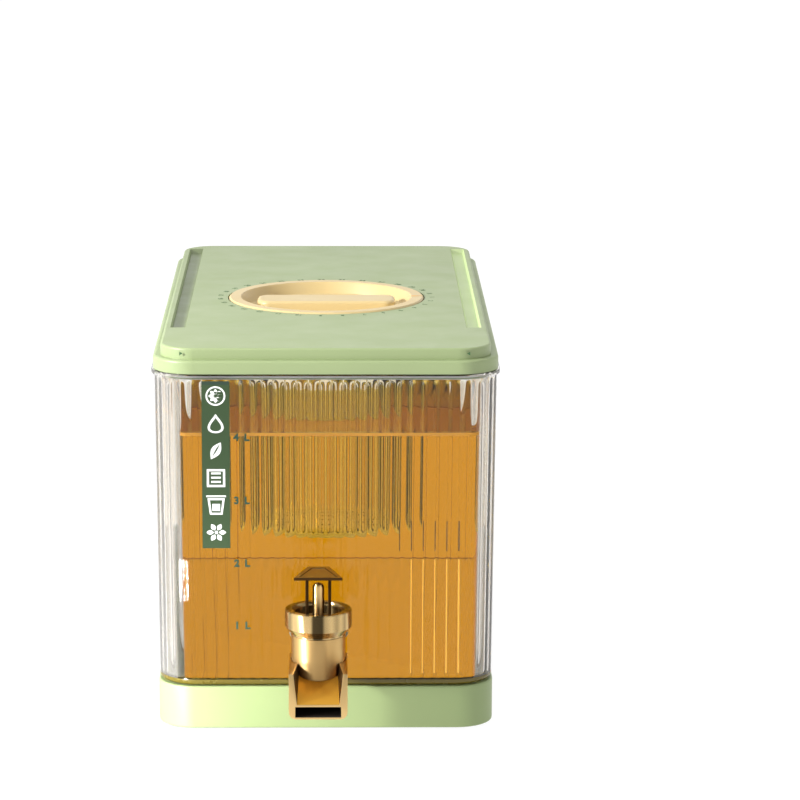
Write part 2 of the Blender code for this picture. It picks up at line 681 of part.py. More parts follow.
def build_valve():
    """The stem with its silicone plug, and the spring that presses the plug on its seat."""
    plug_bottom = VALVE_SEAT + GAP
    dome = 1.6 * MM
    profile = [
        (0, STEM_TOP),
        (STEM_RADIUS - dome, STEM_TOP),
        (STEM_RADIUS - dome * 0.3, STEM_TOP - dome * 0.35),
        (STEM_RADIUS, STEM_TOP - dome),
        (STEM_RADIUS, STEM_BOTTOM),
        (0, STEM_BOTTOM),
    ]
    stem = turned("valve_stem", profile, TAP, GOLD, steps=24)
    sideways = Matrix.Rotation(math.pi / 2, 4, "Y")
    pin_hole = cylinder("pin_hole", PIN_RADIUS + GAP, -PAST, PAST, PIN, steps=12, turn=sideways)
    combine(stem, "DIFFERENCE", pin_hole)
    reach = LEG_X + LEG_THICKNESS / 2 + 0.25 * MM
    cylinder("lever_pin", PIN_RADIUS, -reach, reach, PIN, STEEL, steps=12, turn=sideways)

    grip = STEM_RADIUS + GAP
    plug_profile = [
        (0, STEM_BOTTOM - GAP),
        (grip, STEM_BOTTOM - GAP),
        (grip, PLUG_SHOULDER),
        (6.0 * MM, PLUG_SHOULDER),
        (6.2 * MM, 38.6 * MM),
        (5.6 * MM, plug_bottom),
        (0, plug_bottom),
    ]
    turned("valve_plug", plug_profile, TAP, SILICONE, steps=24)


def build_spring():
    turns = 4
    per_turn = 12
    wire = 0.35 * MM
    radius = 4.2 * MM
    bottom, top = PLUG_SHOULDER + GAP + wire, COLLAR_ROOF - GAP - wire
    curve = bpy.data.curves.new("valve_spring", "CURVE")
    curve.dimensions = "3D"
    curve.bevel_depth = wire
    curve.bevel_resolution = 2
    curve.use_fill_caps = True
    spline = curve.splines.new("POLY")
    count = turns * per_turn + 1
    spline.points.add(count - 1)
    for i, point in enumerate(spline.points):
        angle = math.tau * i / per_turn
        height = bottom + (top - bottom) * i / (count - 1)
        point.co = (radius * math.cos(angle), radius * math.sin(angle), height, 1)
    spring = bpy.data.objects.new("valve_spring", curve)
    spring.location = TAP
    PARTS.objects.link(spring)
    curve.materials.append(STEEL)


def build_lever():
    """The paddle and its two legs; the legs' feet are cams that lift the stem as they roll."""
    leg_top = PADDLE_TOP - PADDLE_THICKNESS / 2 - PIN_Z
    foot = WELL_FLOOR + GAP - PIN_Z
    outline = [
        (-2.2 * MM, leg_top),
        (-2.2 * MM, 1.5 * MM),
        (-4.0 * MM, foot + 1.2 * MM),
        (-4.0 * MM, foot),
        (3.0 * MM, foot),
        (3.0 * MM, foot + 1.2 * MM),
        (2.2 * MM, 1.5 * MM),
        (2.2 * MM, leg_top),
    ]
    upright = Matrix(((0, 0, 1, 0), (1, 0, 0, 0), (0, 1, 0, 0), (0, 0, 0, 1)))
    paddle_top = PADDLE_TOP - PIN_Z
    bm = bmesh.new()
    bmesh.ops.create_cube(bm, size=1)
    for vert in bm.verts:
        near = vert.co.y < 0
        half, y = PADDLE_FRONT if near else PADDLE_BACK
        height = paddle_top if vert.co.z > 0 else paddle_top - PADDLE_THICKNESS
        vert.co = (math.copysign(half, vert.co.x), y, height)
    lever = add_object("tap_lever", mesh_of("tap_lever", bm), PIN, GOLD)
    half = LEG_THICKNESS / 2
    for side, x in (("left", -LEG_X), ("right", LEG_X)):
        leg = prism(f"leg_{side}", [outline], x - half, x + half, PIN, turn=upright)
        combine(lever, "UNION", leg)
    sideways = Matrix.Rotation(math.pi / 2, 4, "Y")
    eye = cylinder("lever_eye", PIN_RADIUS + GAP, -PAST, PAST, PIN, steps=12, turn=sideways)
    combine(lever, "DIFFERENCE", eye)


build_tank()
build_base()
build_lid()
build_cap()
build_basket()
build_tap_body()
build_bonnet()
build_spout()
build_valve()
build_spring()
build_lever()
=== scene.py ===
"""Looks of the drink dispenser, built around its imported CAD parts. Metres, +Z up, tap to -Y."""

import math

import bmesh
import bpy
from mathutils import Matrix, Vector


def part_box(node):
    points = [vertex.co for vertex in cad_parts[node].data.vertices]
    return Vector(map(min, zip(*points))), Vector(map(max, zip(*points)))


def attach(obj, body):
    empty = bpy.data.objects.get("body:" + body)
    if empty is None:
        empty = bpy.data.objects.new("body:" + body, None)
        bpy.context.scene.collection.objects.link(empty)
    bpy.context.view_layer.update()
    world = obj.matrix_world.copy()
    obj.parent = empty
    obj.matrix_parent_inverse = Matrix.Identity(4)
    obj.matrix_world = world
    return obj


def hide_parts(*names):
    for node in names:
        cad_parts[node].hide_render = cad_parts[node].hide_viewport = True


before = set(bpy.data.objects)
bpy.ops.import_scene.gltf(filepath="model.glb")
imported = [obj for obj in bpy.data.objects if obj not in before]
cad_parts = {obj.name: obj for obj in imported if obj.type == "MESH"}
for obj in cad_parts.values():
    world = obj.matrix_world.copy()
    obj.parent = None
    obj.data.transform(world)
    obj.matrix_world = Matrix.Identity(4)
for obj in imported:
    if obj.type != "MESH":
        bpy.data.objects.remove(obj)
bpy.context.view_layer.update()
MM = 0.001
FORWARD = Matrix.Rotation(math.pi / 2, 4, "X")  # turns a +Z axis to -Y, and a flat shape upright
SHARP = math.radians(35)  # edges steeper than this stay sharp in the shading

# Places read from the frame
LID_LOW, LID_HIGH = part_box("lid")
TANK_LOW, TANK_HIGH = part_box("tank")
CAP_LOW, CAP_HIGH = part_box("cap")
BASKET_LOW, BASKET_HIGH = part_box("basket")
SPOUT_LOW, SPOUT_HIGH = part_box("spout")
FRONT_Y = LID_LOW.y
JUG_Y = (LID_LOW.y + LID_HIGH.y) / 2
CAP_AXIS = (CAP_LOW + CAP_HIGH) / 2
BASKET_RADIUS = 36.5 * MM
BASKET_BOTTOM = BASKET_LOW.z + 4.5 * MM
PLATE_TOP = LID_HIGH.z
TAP_X = (SPOUT_LOW.x + SPOUT_HIGH.x) / 2

# The lid's finger scoops, as in the CAD: distances from the lid's sides, front and back
TIER_STEP = 3.1 * MM
SCOOP_SIDES = Vector((TIER_STEP + 2.6 * MM, TIER_STEP + 9.0 * MM))
SCOOP_FRONT = TIER_STEP + 48.0 * MM
SCOOP_BACK = TIER_STEP + 10.0 * MM
SCOOP_DEPTH = 2.0 * MM

# Tank wall: sizes of its sides at the bottom and the top, as in the CAD
TANK_TOP_SIZE = Vector((143.0, 276.4)) * MM
TANK_BOTTOM_SIZE = Vector((140.4, 273.8)) * MM
TANK_CORNER = 16.5 * MM
WALL = 2.4 * MM
FLOOR = 2.0 * MM
FOOT_ROUND = 2.0 * MM
FOOT_BAND = 2.9 * MM
FLOOR_RISE = 3.2 * MM  # the inside of the floor rises this much towards the back
INNER_ROUND = 0.8 * MM
LIP_HEIGHT = 1.8 * MM
LIP_REACH = 1.2 * MM
RECESS = Vector((116.6, 250.6)) * MM
RECESS_DEPTH = 1.2 * MM
SHANK_Z = 41.0 * MM
SHANK_HOLE = 8.0 * MM

# Flutes on the outside of the tank
FLUTE_PITCH = 4.85 * MM
FLUTE_DEPTH = 0.35 * MM
FLUTE_STEPS = 8
PANEL_LEFT = TAP_X - 18.5 * MM  # the flat panel that the tap is clamped to
PANEL_RIGHT = TAP_X + 19.5 * MM
PANEL_TOP = 58.0 * MM

# The drink's body: flush with the front and back walls, with clear plastic showing at the sides
DRINK_TOP = 127.1 * MM
DRINK_GAP = 0.3 * MM
DRINK_LEFT = 10.5 * MM
DRINK_RIGHT = 8.0 * MM
DRINK_CORNER = 3.5 * MM
DRINK_ROUND = 0.4 * MM

# Refraction
PLASTIC_IOR = 1.5
DRINK_IOR = 1.33
DRINK_FLOOR_IOR = 1.6
FILM_IOR = 1.02


# ---------------------------------------------------------------- materials


def fill_ramp(ramp, stops):
    """Sets a colour ramp to grey levels: (place, level) pairs."""
    while len(ramp.elements) < len(stops):
        ramp.elements.new(0.5)
    for element, (place, level) in zip(ramp.elements, stops):
        element.position = place
        element.color = (level, level, level, 1)


def compass(tree, across, ahead, stops):
    """A grey socket by compass angle: (degrees from ahead, level) pairs, from -180 to 180."""
    angle = tree.nodes.new("ShaderNodeMath")
    angle.operation = "ARCTAN2"
    tree.links.new(across, angle.inputs[0])
    tree.links.new(ahead, angle.inputs[1])
    turn = tree.nodes.new("ShaderNodeMapRange")
    turn.inputs["From Min"].default_value = -math.pi
    turn.inputs["From Max"].default_value = math.pi
    tree.links.new(angle.outputs["Value"], turn.inputs["Value"])
    made = tree.nodes.new("ShaderNodeValToRGB")
    fill_ramp(made.color_ramp, [((degrees + 180) / 360, level) for degrees, level in stops])
    tree.links.new(turn.outputs["Result"], made.inputs["Fac"])
    return made.outputs["Color"]


class Paint:
    """A Principled material and short ways to add nodes to it."""

    def __init__(self, name, **values):
        self.material = bpy.data.materials.new(name)
        self.material.use_nodes = True
        self.tree = self.material.node_tree
        self.shader = self.tree.nodes["Principled BSDF"]
        self.set(self.shader, **values)

    def set(self, node, **values):
        for key, value in values.items():
            socket = node.inputs[key.replace("_", " ").title().replace("Ior", "IOR")]
            socket.default_value = (*value, 1) if isinstance(value, tuple) else value

    def node(self, kind, **values):
        made = self.tree.nodes.new(kind)
        self.set(made, **values)
        return made

    def link(self, start, end):
        self.tree.links.new(start, end)

    def noise(self, scale, detail=3.0, stretch=(1, 1, 1)):
        place = self.node("ShaderNodeTexCoord")
        mapping = self.node("ShaderNodeMapping")
        mapping.inputs["Scale"].default_value = stretch
        made = self.node("ShaderNodeTexNoise", scale=scale, detail=detail)
        self.link(place.outputs["Object"], mapping.inputs["Vector"])
        self.link(mapping.outputs["Vector"], made.inputs["Vector"])
        return made

    def ramp(self, source, low, high, start=0.3, end=0.7):
        made = self.node("ShaderNodeValToRGB")
        for element, place, value in zip(made.color_ramp.elements, (start, end), (low, high)):
            element.position = place
            colour = value if isinstance(value, tuple) else (value,) * 3
            element.color = (*colour, 1)
        self.link(source, made.inputs["Fac"])
        return made.outputs["Color"]

    def grain(self, scale, strength, distance=0.05 * MM, stretch=(1, 1, 1), detail=3.0):
        bump = self.node("ShaderNodeBump", strength=strength, distance=distance)
        self.link(self.noise(scale, detail, stretch).outputs["Fac"], bump.inputs["Height"])
        self.link(bump.outputs["Normal"], self.shader.inputs["Normal"])

    def in_box(self, axis):
        """The place along one axis of the object's box, 0 to 1."""
        split = self.node("ShaderNodeSeparateXYZ")
        self.link(self.node("ShaderNodeTexCoord").outputs["Generated"], split.inputs["Vector"])
        return split.outputs[axis]

    def painted_reflection_bands(self, stops):
        """Upright stripes of painted reflection round the object: (degrees from its front, level)
        pairs.
        """
        across, ahead = self.node("ShaderNodeMath"), self.node("ShaderNodeMath")
        across.operation = ahead.operation = "SUBTRACT"
        across.inputs[1].default_value = ahead.inputs[0].default_value = 0.5
        self.link(self.in_box("X"), across.inputs[0])
        self.link(self.in_box("Y"), ahead.inputs[1])
        return compass(self.tree, across.outputs["Value"], ahead.outputs["Value"], stops)

    def box_steps(self, axis, low, high, stops):
        """Steps along one axis of the object's box: (place, level) pairs, each held to the next."""
        made = self.node("ShaderNodeValToRGB")
        made.color_ramp.interpolation = "CONSTANT"
        shares = [(max((place - low) / (high - low), 0), level) for place, level in stops]
        fill_ramp(made.color_ramp, shares)
        self.link(self.in_box(axis), made.inputs["Fac"])
        return made.outputs["Color"]

    def mix(self, blend, factor, first, second):
        """Two colours mixed; each input is a socket or a value."""
        made = self.node("ShaderNodeMix")
        made.data_type = "RGBA"
        made.blend_type = blend
        for name, value in (("Factor", factor), ("A", first), ("B", second)):
            if isinstance(value, bpy.types.NodeSocket):
                self.link(value, made.inputs[name])
            else:
                made.inputs[name].default_value = value
        return made.outputs["Result"]

    def roughness(self, low, high, scale):
        made = self.ramp(self.noise(scale, 4.0).outputs["Fac"], low, high)
        self.link(made, self.shader.inputs["Roughness"])


def shade(colour, factor):
    return tuple(channel * factor for channel in colour)


# Noise scales, in waves per metre
DRIFT = 18  # slow drift of a moulding's colour
HANDLED = 40  # marks on plating
PATCHES = 60  # satin patches and smears
POLISH = 500  # polishing lines
SPARKS = 1900  # spark-eroded grain


def moulded(name, colour, roughness, grain=0.25, finish=None, **values):
    """Opaque moulded plastic: faint colour drift, satin patches and fine spark-eroded grain."""
    paint = Paint(name, **values)
    tone = paint.ramp(paint.noise(DRIFT).outputs["Fac"], shade(colour, 0.96), shade(colour, 1.02))
    paint.link(finish(paint, tone) if finish else tone, paint.shader.inputs["Base Color"])
    paint.roughness(roughness - 0.05, roughness + 0.06, PATCHES)
    paint.grain(SPARKS, grain)
    return paint.material


PLAIN, PAINTED_SHADE_SHARE, PAINTED_LIGHT_SHARE = 0.4, 0.26, 0.72  # shares of the lid's colour: all over, the left scoop's painted shade and the right scoop's painted light


def scoop_painted_light(paint, tone):
    """Painted shade and light: the left finger scoop a little darker than the lid, as if shaded from
    the key light on the left, and the right one lighter, as if lit by it.
    """
    near, far = SCOOP_SIDES
    left, right = LID_LOW.x, LID_HIGH.x
    across = paint.box_steps("X", left, right, (
        (left, PLAIN), (left + near, PAINTED_SHADE_SHARE), (left + far, PLAIN),
        (right - far, PAINTED_LIGHT_SHARE), (right - near, PLAIN),
    ))
    along = paint.box_steps("Y", LID_LOW.y, LID_HIGH.y, (
        (LID_LOW.y, 0), (LID_LOW.y + SCOOP_FRONT, 1), (LID_HIGH.y - SCOOP_BACK, 0),
    ))
    edge = 0.1 * MM
    height = paint.box_steps("Z", LID_LOW.z, LID_HIGH.z, (
        (LID_LOW.z, 0), (PLATE_TOP - SCOOP_DEPTH - edge, 1), (PLATE_TOP - edge, 0),
    ))
    inside = paint.mix("MULTIPLY", 1.0, along, height)
    level = paint.mix("MIX", inside, (PLAIN, PLAIN, PLAIN, 1), across)
    return paint.mix("MULTIPLY", 1.0, tone, level)


def plated(name, colour, roughness, painted_reflection_bands=None, **values):
    """Bright plating over polished metal, with faint polishing lines and handling marks; given stripes
    by angle, it also carries painted reflections round its axis.
    """
    paint = Paint(name, metallic=1.0, **values)
    tone = paint.ramp(paint.noise(HANDLED).outputs["Fac"], shade(colour, 0.97), colour)
    if painted_reflection_bands:
        tone = paint.mix("MULTIPLY", 1.0, tone, paint.painted_reflection_bands(painted_reflection_bands))
    paint.link(tone, paint.shader.inputs["Base Color"])
    paint.roughness(roughness * 0.9, roughness * 1.1, PATCHES)
    paint.grain(POLISH, 0.01)
    return paint.material


def clear(name, ior, tint=(1.0, 1.0, 1.0), roughness=0.0, **values):
    return Paint(name, base_color=tint, transmission_weight=1.0, ior=ior, roughness=roughness, **values)


def clear_plastic(name, ior, haze=0.0, tint=(0.985, 0.985, 0.975)):
    """Injection-moulded clear plastic: long, weak flow waves and a trace of haze."""
    paint = clear(name, ior, tint, 0.01, specular_tint=(0.4, 0.4, 0.4))
    paint.set(paint.shader, transmission_weight=1 - haze)
    paint.grain(22, 0.12, 0.4 * MM, (1, 1, 0.35), 2.0)
    return paint.material


def drink(name, ior):
    """Amber drink: its colour comes from depth, and a little from what its surface mirrors, since its
    reflections are tinted amber, a painted reflection colour.
    """
    paint = clear(name, ior, specular_tint=(0.8, 0.5, 0.1))
    absorb = paint.node("ShaderNodeVolumeAbsorption", density=25.0)
    absorb.inputs["Color"].default_value = (0.93, 0.80, 0.0, 1)
    output = paint.tree.nodes["Material Output"]
    paint.link(absorb.outputs["Volume"], output.inputs["Volume"])
    return paint.material


def reflection_tint_film(name, tint):
    """A thin tinted sheet over the drink, a painted reflection colour: it tints what passes through it,
    the drink surface's reflections among them, and hardly bends it.
    """
    paint = clear(name, FILM_IOR, tint)
    paint.grain(PATCHES, 0.1)
    return paint.material


# The lid's own colour is strong, because scoop_painted_light lets only a share of it show, and paints
# shade into the left scoop and light into the right one
LID_GREEN = moulded("pale_green_satin", (0.775, 0.95, 0.4625), 0.42, finish=scoop_painted_light)
BASE_GREEN = moulded("pale_green_plinth", (0.27, 0.345, 0.15), 0.45)
CREAM = moulded("cream_satin", (0.64, 0.49, 0.235), 0.38, 0.15)
BRUSHED = {"anisotropic": 0.85, "anisotropic_rotation": 0.25}
# Painted reflections: dark and bright upright stripes round the collar, for the studio that its gold
# mirrors
COLLAR_PAINTED_REFLECTIONS = (
    (-180, 0.6), (-90, 0.35), (-78, 0.5), (-66, 1.0), (-58, 0.45), (-48, 1.0), (-36, 0.85), (-24, 0.6),
    (-13, 0.75), (-9, 0.10), (7, 0.08), (12, 0.6), (24, 0.75), (34, 0.5), (42, 0.8), (52, 0.45),
    (60, 0.95), (70, 0.35), (90, 0.25), (180, 0.6),
)
GOLD = plated("gold_plating", (0.82, 0.56, 0.24), 0.30, **BRUSHED)
GOLD_COLLAR = plated("gold_collar", (0.85, 0.60, 0.27), 0.26, painted_reflection_bands=COLLAR_PAINTED_REFLECTIONS, **BRUSHED)
GOLD_BARREL = plated("gold_barrel", (0.74, 0.49, 0.20), 0.50, **BRUSHED)
GOLD_PADDLE = plated("gold_paddle", (0.60, 0.40, 0.13), 0.35)
# Painted reflection: a deeper orange gold for the trough's floor, for light bounced between its gold
# walls
GOLD_FLOOR_PAINTED_REFLECTION = plated("gold_trough_floor_painted_reflection", (0.54, 0.28, 0.035), 0.45)
# Painted shade: a near-black gold for the trough's cheeks, the barrel socket, the paddle's sides and
# rings, and the lever legs
GOLD_SHADE = plated("gold_painted_shade", (0.07, 0.035, 0.012), 0.35)
# Painted shade: a near-black lining for the outlet channel, for the deep shade inside it
OUTLET_PAINTED_SHADE = moulded("outlet_painted_shade", (0.012, 0.007, 0.004), 0.6)
STEEL = plated("stainless_wire", (0.62, 0.61, 0.58), 0.28)
SILICONE = moulded("silicone", (0.86, 0.86, 0.82), 0.55, 0.4, transmission_weight=0.25)
NUT = moulded("white_plastic", (0.80, 0.80, 0.76), 0.42)
RUBBER = moulded("foot_rubber", (0.10, 0.10, 0.10), 0.75, 0.6)
TANK_CLEAR = clear_plastic("clear_plastic", PLASTIC_IOR)
# Painted sheen: a faint milky haze on the corners only; painted olive on the foot band, for the plinth
# seen through it
TANK_CORNER_SHEEN = clear_plastic("clear_plastic_corner", PLASTIC_IOR, 0.09, (0.98, 0.955, 0.91))
TANK_FOOT = moulded("clear_plastic_foot", (0.14, 0.105, 0.008), 0.25, 0.1, transmission_weight=0.2)
DRINK = drink("drink", DRINK_IOR)
DRINK_FLOOR = drink("drink_floor", DRINK_FLOOR_IOR)
# Painted highlight: the meniscus ring glows orange, though it is no lamp
DRINK_MENISCUS_GLOW = moulded(
    "drink_meniscus_painted_glow", (0.60, 0.27, 0.01), 0.4, 0.1, emission_color=(1.0, 0.42, 0.02), emission_strength=0.22
)
# Painted highlight and shade: glowing lines and dark lines in the drink, for the flutes' glints
DRINK_GLINT = moulded(
    "drink_glint", (0.80, 0.42, 0.02), 0.4, 0.1, emission_color=(1.0, 0.55, 0.08), emission_strength=0.7
)
DRINK_SHADE = moulded("drink_shade", (0.10, 0.05, 0.01), 0.4, 0.1)
DRINK_REFLECTION_TINT = reflection_tint_film("drink_film", (0.86, 0.74, 0.22))
LABEL_GREEN = moulded("label_green", (0.028, 0.060, 0.018), 0.45, 0.2)
# Painted shadow: a darker green for the label's top end, where the tank's lip shades it
LABEL_SHADE = moulded("label_green_painted_shade", (0.02, 0.045, 0.025), 0.45, 0.2)
INK_WHITE = moulded("ink_white", (0.92, 0.93, 0.90), 0.4, 0.2)
INK_TEAL = moulded("ink_teal", (0.012, 0.055, 0.035), 0.4, 0.2)
INK_DARK = moulded("ink_dark_green", (0.06, 0.13, 0.05), 0.5, 0.2)
INK_ORANGE = moulded("ink_orange", (0.75, 0.38, 0.06), 0.4, 0.2)


def basket_with_painted_glow():
    """Milky clear plastic with a painted glow, pale above the drink and weaker where it hangs in the
    drink.
    """
    paint = clear("basket_plastic", PLASTIC_IOR, (0.97, 0.95, 0.90), 0.06)
    paint.set(paint.shader, transmission_weight=0.75, emission_strength=0.3)
    wet = (DRINK_TOP - BASKET_BOTTOM) / (BASKET_HIGH.z - BASKET_BOTTOM)
    dim, bright = (0.42, 0.38, 0.26), (0.95, 0.88, 0.72)
    painted_glow = paint.ramp(paint.in_box("Z"), dim, bright, wet - 0.02, wet + 0.04)
    paint.link(painted_glow, paint.shader.inputs["Emission Color"])
    paint.grain(300, 0.1)
    return paint.material


BASKET_PLASTIC = basket_with_painted_glow()
# Painted shade: near-black walls for the basket's slots, recesses and floor holes
BASKET_SLOT_SHADE = moulded("basket_slot_painted_shade", (0.03, 0.02, 0.01), 0.3, transmission_weight=0.1)

NODE_PAINTS = {
    LID_GREEN: ["lid"],
    BASE_GREEN: ["base"],
    CREAM: ["cap"],
    GOLD: ["spout", "tap_lever", "valve_stem"],
    GOLD_COLLAR: ["tap_bonnet"],
    GOLD_BARREL: ["tap_body"],
    STEEL: ["lever_pin", "valve_spring"],
    SILICONE: ["lid_gasket", "cap_seal", "outer_washer", "inner_washer", "bonnet_o_ring", "valve_plug"],
    NUT: ["locknut"],
    RUBBER: ["foot_front_left", "foot_front_right", "foot_rear_left", "foot_rear_right"],
    TANK_CLEAR: ["tank"],
    BASKET_PLASTIC: ["basket"],
}


def smooth_cad(node):
    """Rounds the shading of a faceted CAD node without touching its mesh."""
    weld = node.modifiers.new("weld", "WELD")
    weld.merge_threshold = 0.00001
    split = node.modifiers.new("split", "EDGE_SPLIT")
    split.split_angle = SHARP
    node.modifiers.new("weighted", "WEIGHTED_NORMAL")
    for polygon in node.data.polygons:
        polygon.use_smooth = True


for material, names in NODE_PAINTS.items():
    for name in names:
        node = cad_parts[name]
        node.data.materials.clear()
        node.data.materials.append(material)
        smooth_cad(node)


# ---------------------------------------------------------------- mesh helpers


def add_object(name, data):
    made = bpy.data.objects.new(name, data)
    bpy.context.scene.collection.objects.link(made)
    return made


def shade_soft(mesh):
    mesh.shade_smooth()
    mesh.set_sharp_from_angle(angle=SHARP)


def from_bmesh(name, bm):
    mesh = bpy.data.meshes.new(name)
    bm.to_mesh(mesh)
    bm.free()
    return mesh


def piece(name, mesh, body, slot, *materials):
    made = add_object(name, mesh)
    for material in materials:
        mesh.materials.append(material)
    shade_soft(mesh)
    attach(made, body)
    return made


def finished(obj):
    """The object's mesh with its modifiers applied."""
    graph = bpy.context.evaluated_depsgraph_get()
    return bpy.data.meshes.new_from_object(obj.evaluated_get(graph))


def outline_walk(size, corner, count):
    """Equal steps round a rounded rectangle from its front middle: (segment, share) pairs."""
    straight = (size.x / 2 - corner, size.y - 2 * corner, size.x - 2 * corner)
    arc = corner * math.pi / 2
    lengths = [straight[0], arc, straight[1], arc, straight[2], arc, straight[1], arc, straight[0]]
    total = sum(lengths)
    stations, segment, passed = [], 0, 0.0
    for step in range(count):
        along = total * step / count
        while along - passed > lengths[segment]:
            passed += lengths[segment]
            segment += 1
        stations.append((segment, (along - passed) / lengths[segment]))
    return stations


def outline_point(size, corner, segment, share):
    """The point and outward direction at a station of outline_walk, for any size of outline."""
    x, y = size.x / 2 - corner, size.y / 2 - corner
    centres = [(0, -y), (x, -y), (x, -y), (x, y), (x, y), (-x, y), (-x, y), (-x, -y), (-x, -y)]
    if segment % 2:
        angle = math.pi / 2 * ((segment - 1) / 2 + share) - math.pi / 2
        away = Vector((math.cos(angle), math.sin(angle)))
        return Vector(centres[segment]) + corner * away, away
    ends = [(0, -y), (x, -y), (x, y), (-x, y), (-x, -y), (0, -y)]
    start, end = Vector(ends[segment // 2]), Vector(ends[segment // 2 + 1])
    angle = math.pi / 2 * (segment // 2 - 1)
    away = Vector((math.cos(angle), math.sin(angle)))
    return start.lerp(end, share) + corner * away, away


def loft(name, rings, mark=None):
    """A mesh through equal closed rings of points, with flat ends; mark gives a level's material."""
    bm = bmesh.new()
    made = [[bm.verts.new(point) for point in ring] for ring in rings]
    count = len(rings[0])
    for level in range(len(rings) - 1):
        for i in range(count):
            j = (i + 1) % count
            corners = (made[level][i], made[level][j], made[level + 1][j], made[level + 1][i])
            face = bm.faces.new(corners)
            if mark:
                face.material_index = mark(level)
    for ring, level in ((reversed(made[0]), 0), (made[-1], len(rings) - 2)):
        face = bm.faces.new(ring)
        if mark:
            face.material_index = mark(level)
    return from_bmesh(name, bm)


def flat_shape(name, outlines, thickness):
    """Flat outlines (an outline inside another is a hole) given a thickness, centred on Z = 0."""
    curve = bpy.data.curves.new(name, "CURVE")
    curve.dimensions = "2D"
    curve.fill_mode = "BOTH"
    curve.extrude = thickness / 2
    for outline in outlines:
        spline = curve.splines.new("POLY")
        spline.points.add(len(outline) - 1)
        for point, (x, y) in zip(spline.points, outline):
            point.co = (x, y, 0, 1)
        spline.use_cyclic_u = True
    return curve_mesh(name, curve)


def curve_mesh(name, curve):
    """The mesh of a filled curve, with its double points merged."""
    temporary = add_object(name, curve)
    mesh = finished(temporary)
    bpy.data.objects.remove(temporary, do_unlink=True)
    bm = bmesh.new()
    bm.from_mesh(mesh)
    bmesh.ops.remove_doubles(bm, verts=bm.verts, dist=0.000001)
    bm.to_mesh(mesh)
    bm.free()
    return mesh


def cut_away(obj, mesh, *materials):
    """Cuts a mesh out of an object for good; the new faces take the cutter's materials, if any."""
    for material in materials:
        mesh.materials.append(material)
    cutter = add_object("cutter", mesh)
    cut = obj.modifiers.new("cut", "BOOLEAN")
    cut.operation = "DIFFERENCE"
    cut.solver = "EXACT"
    cut.material_mode = "TRANSFER" if materials else "INDEX"
    cut.object = cutter
    obj.data = finished(obj)
    obj.modifiers.clear()
    bpy.data.objects.remove(cutter, do_unlink=True)
    obj.data.set_sharp_from_angle(angle=SHARP)


def joined(name, placed):
    """One mesh from (mesh, matrix) pairs."""
    bm = bmesh.new()
    for mesh, matrix in placed:
        part = mesh.copy()
        part.transform(matrix)
        bm.from_mesh(part)
    return from_bmesh(name, bm)


def rod(radius, low, high, place, turn=None, segments=64):
    """A cylinder from low to high along its axis, for cutting."""
    bm = bmesh.new()
    middle = Matrix.Translation((0, 0, (low + high) / 2))
    bmesh.ops.create_cone(
        bm, cap_ends=True, segments=segments, radius1=radius, radius2=radius, depth=high - low,
        matrix=Matrix.Translation(place) @ (turn or Matrix()) @ middle,
    )
    return from_bmesh("rod", bm)


# ---------------------------------------------------------------- tank and drink


def wall_size(height, inset):
    bottom, top = TANK_LOW.z, TANK_HIGH.z
    share = min(max((height - bottom) / (top - bottom), 0), 1)
    return TANK_BOTTOM_SIZE.lerp(TANK_TOP_SIZE, share) - 2 * Vector((inset, inset))


def outline_ring(size, corner, height):
    ring = [outline_point(size, corner, segment, share)[0] for segment, share in STATIONS[::2]]
    return [(point.x, JUG_Y + point.y, height) for point in ring]


def circle_ring(radius, height):
    """A level circle round the cap's axis."""
    turns = [math.tau * i / CIRCLE_STEPS for i in range(CIRCLE_STEPS)]
    x, y = CAP_AXIS.x, CAP_AXIS.y
    return [(x + radius * math.cos(turn), y + radius * math.sin(turn), height) for turn in turns]


def sloped(ring):
    """A ring round the floor, raised towards the back so that the drink runs to the tap."""
    depth = LID_HIGH.y - FRONT_Y
    return [(x, y, z + FLOOR_RISE * (y - FRONT_Y) / depth) for x, y, z in ring]


def wall_ring(stations, height, inset, flutes=0.0):
    """The tank's outline at a height, moved in by inset; flutes is the share of their full depth."""
    radius = FLUTE_PITCH**2 / (8 * FLUTE_DEPTH) + FLUTE_DEPTH / 2
    ring = []
    for index, (segment, share) in enumerate(stations):
        size = wall_size(height, inset)
        point, away = outline_point(size, max(TANK_CORNER - inset, 0.5 * MM), segment, share)
        across = ((index + FLUTE_STEPS / 2) % FLUTE_STEPS / FLUTE_STEPS - 0.5) * FLUTE_PITCH
        cut = flutes * (radius - math.sqrt(radius**2 - across**2))
        if height < PANEL_TOP and away.y < -0.99 and PANEL_LEFT < point.x < PANEL_RIGHT:
            cut = 0
        point = point - cut * away
        ring.append((point.x, JUG_Y + point.y, height))
    return ring


def arc_levels(height, inset, radius, steps, upwards):
    """(height, inset) pairs round the foot, from the flat bottom out and up, or the reverse."""
    turns = [math.pi / 2 * step / steps for step in range(steps + 1)]
    pairs = [
        (height + radius * (1 - math.cos(turn)), inset + radius * (1 - math.sin(turn)))
        for turn in turns
    ]
    return pairs if upwards else pairs[::-1]


def flute_stations():
    perimeter = 2 * (TANK_TOP_SIZE.x + TANK_TOP_SIZE.y) - (8 - 2 * math.pi) * TANK_CORNER
    flutes = 2 * round(perimeter / FLUTE_PITCH / 2)
    return outline_walk(TANK_TOP_SIZE, TANK_CORNER, flutes * FLUTE_STEPS)


STATIONS = flute_stations()
CORNER_FROM = 31  # degrees round a corner from the front or back face


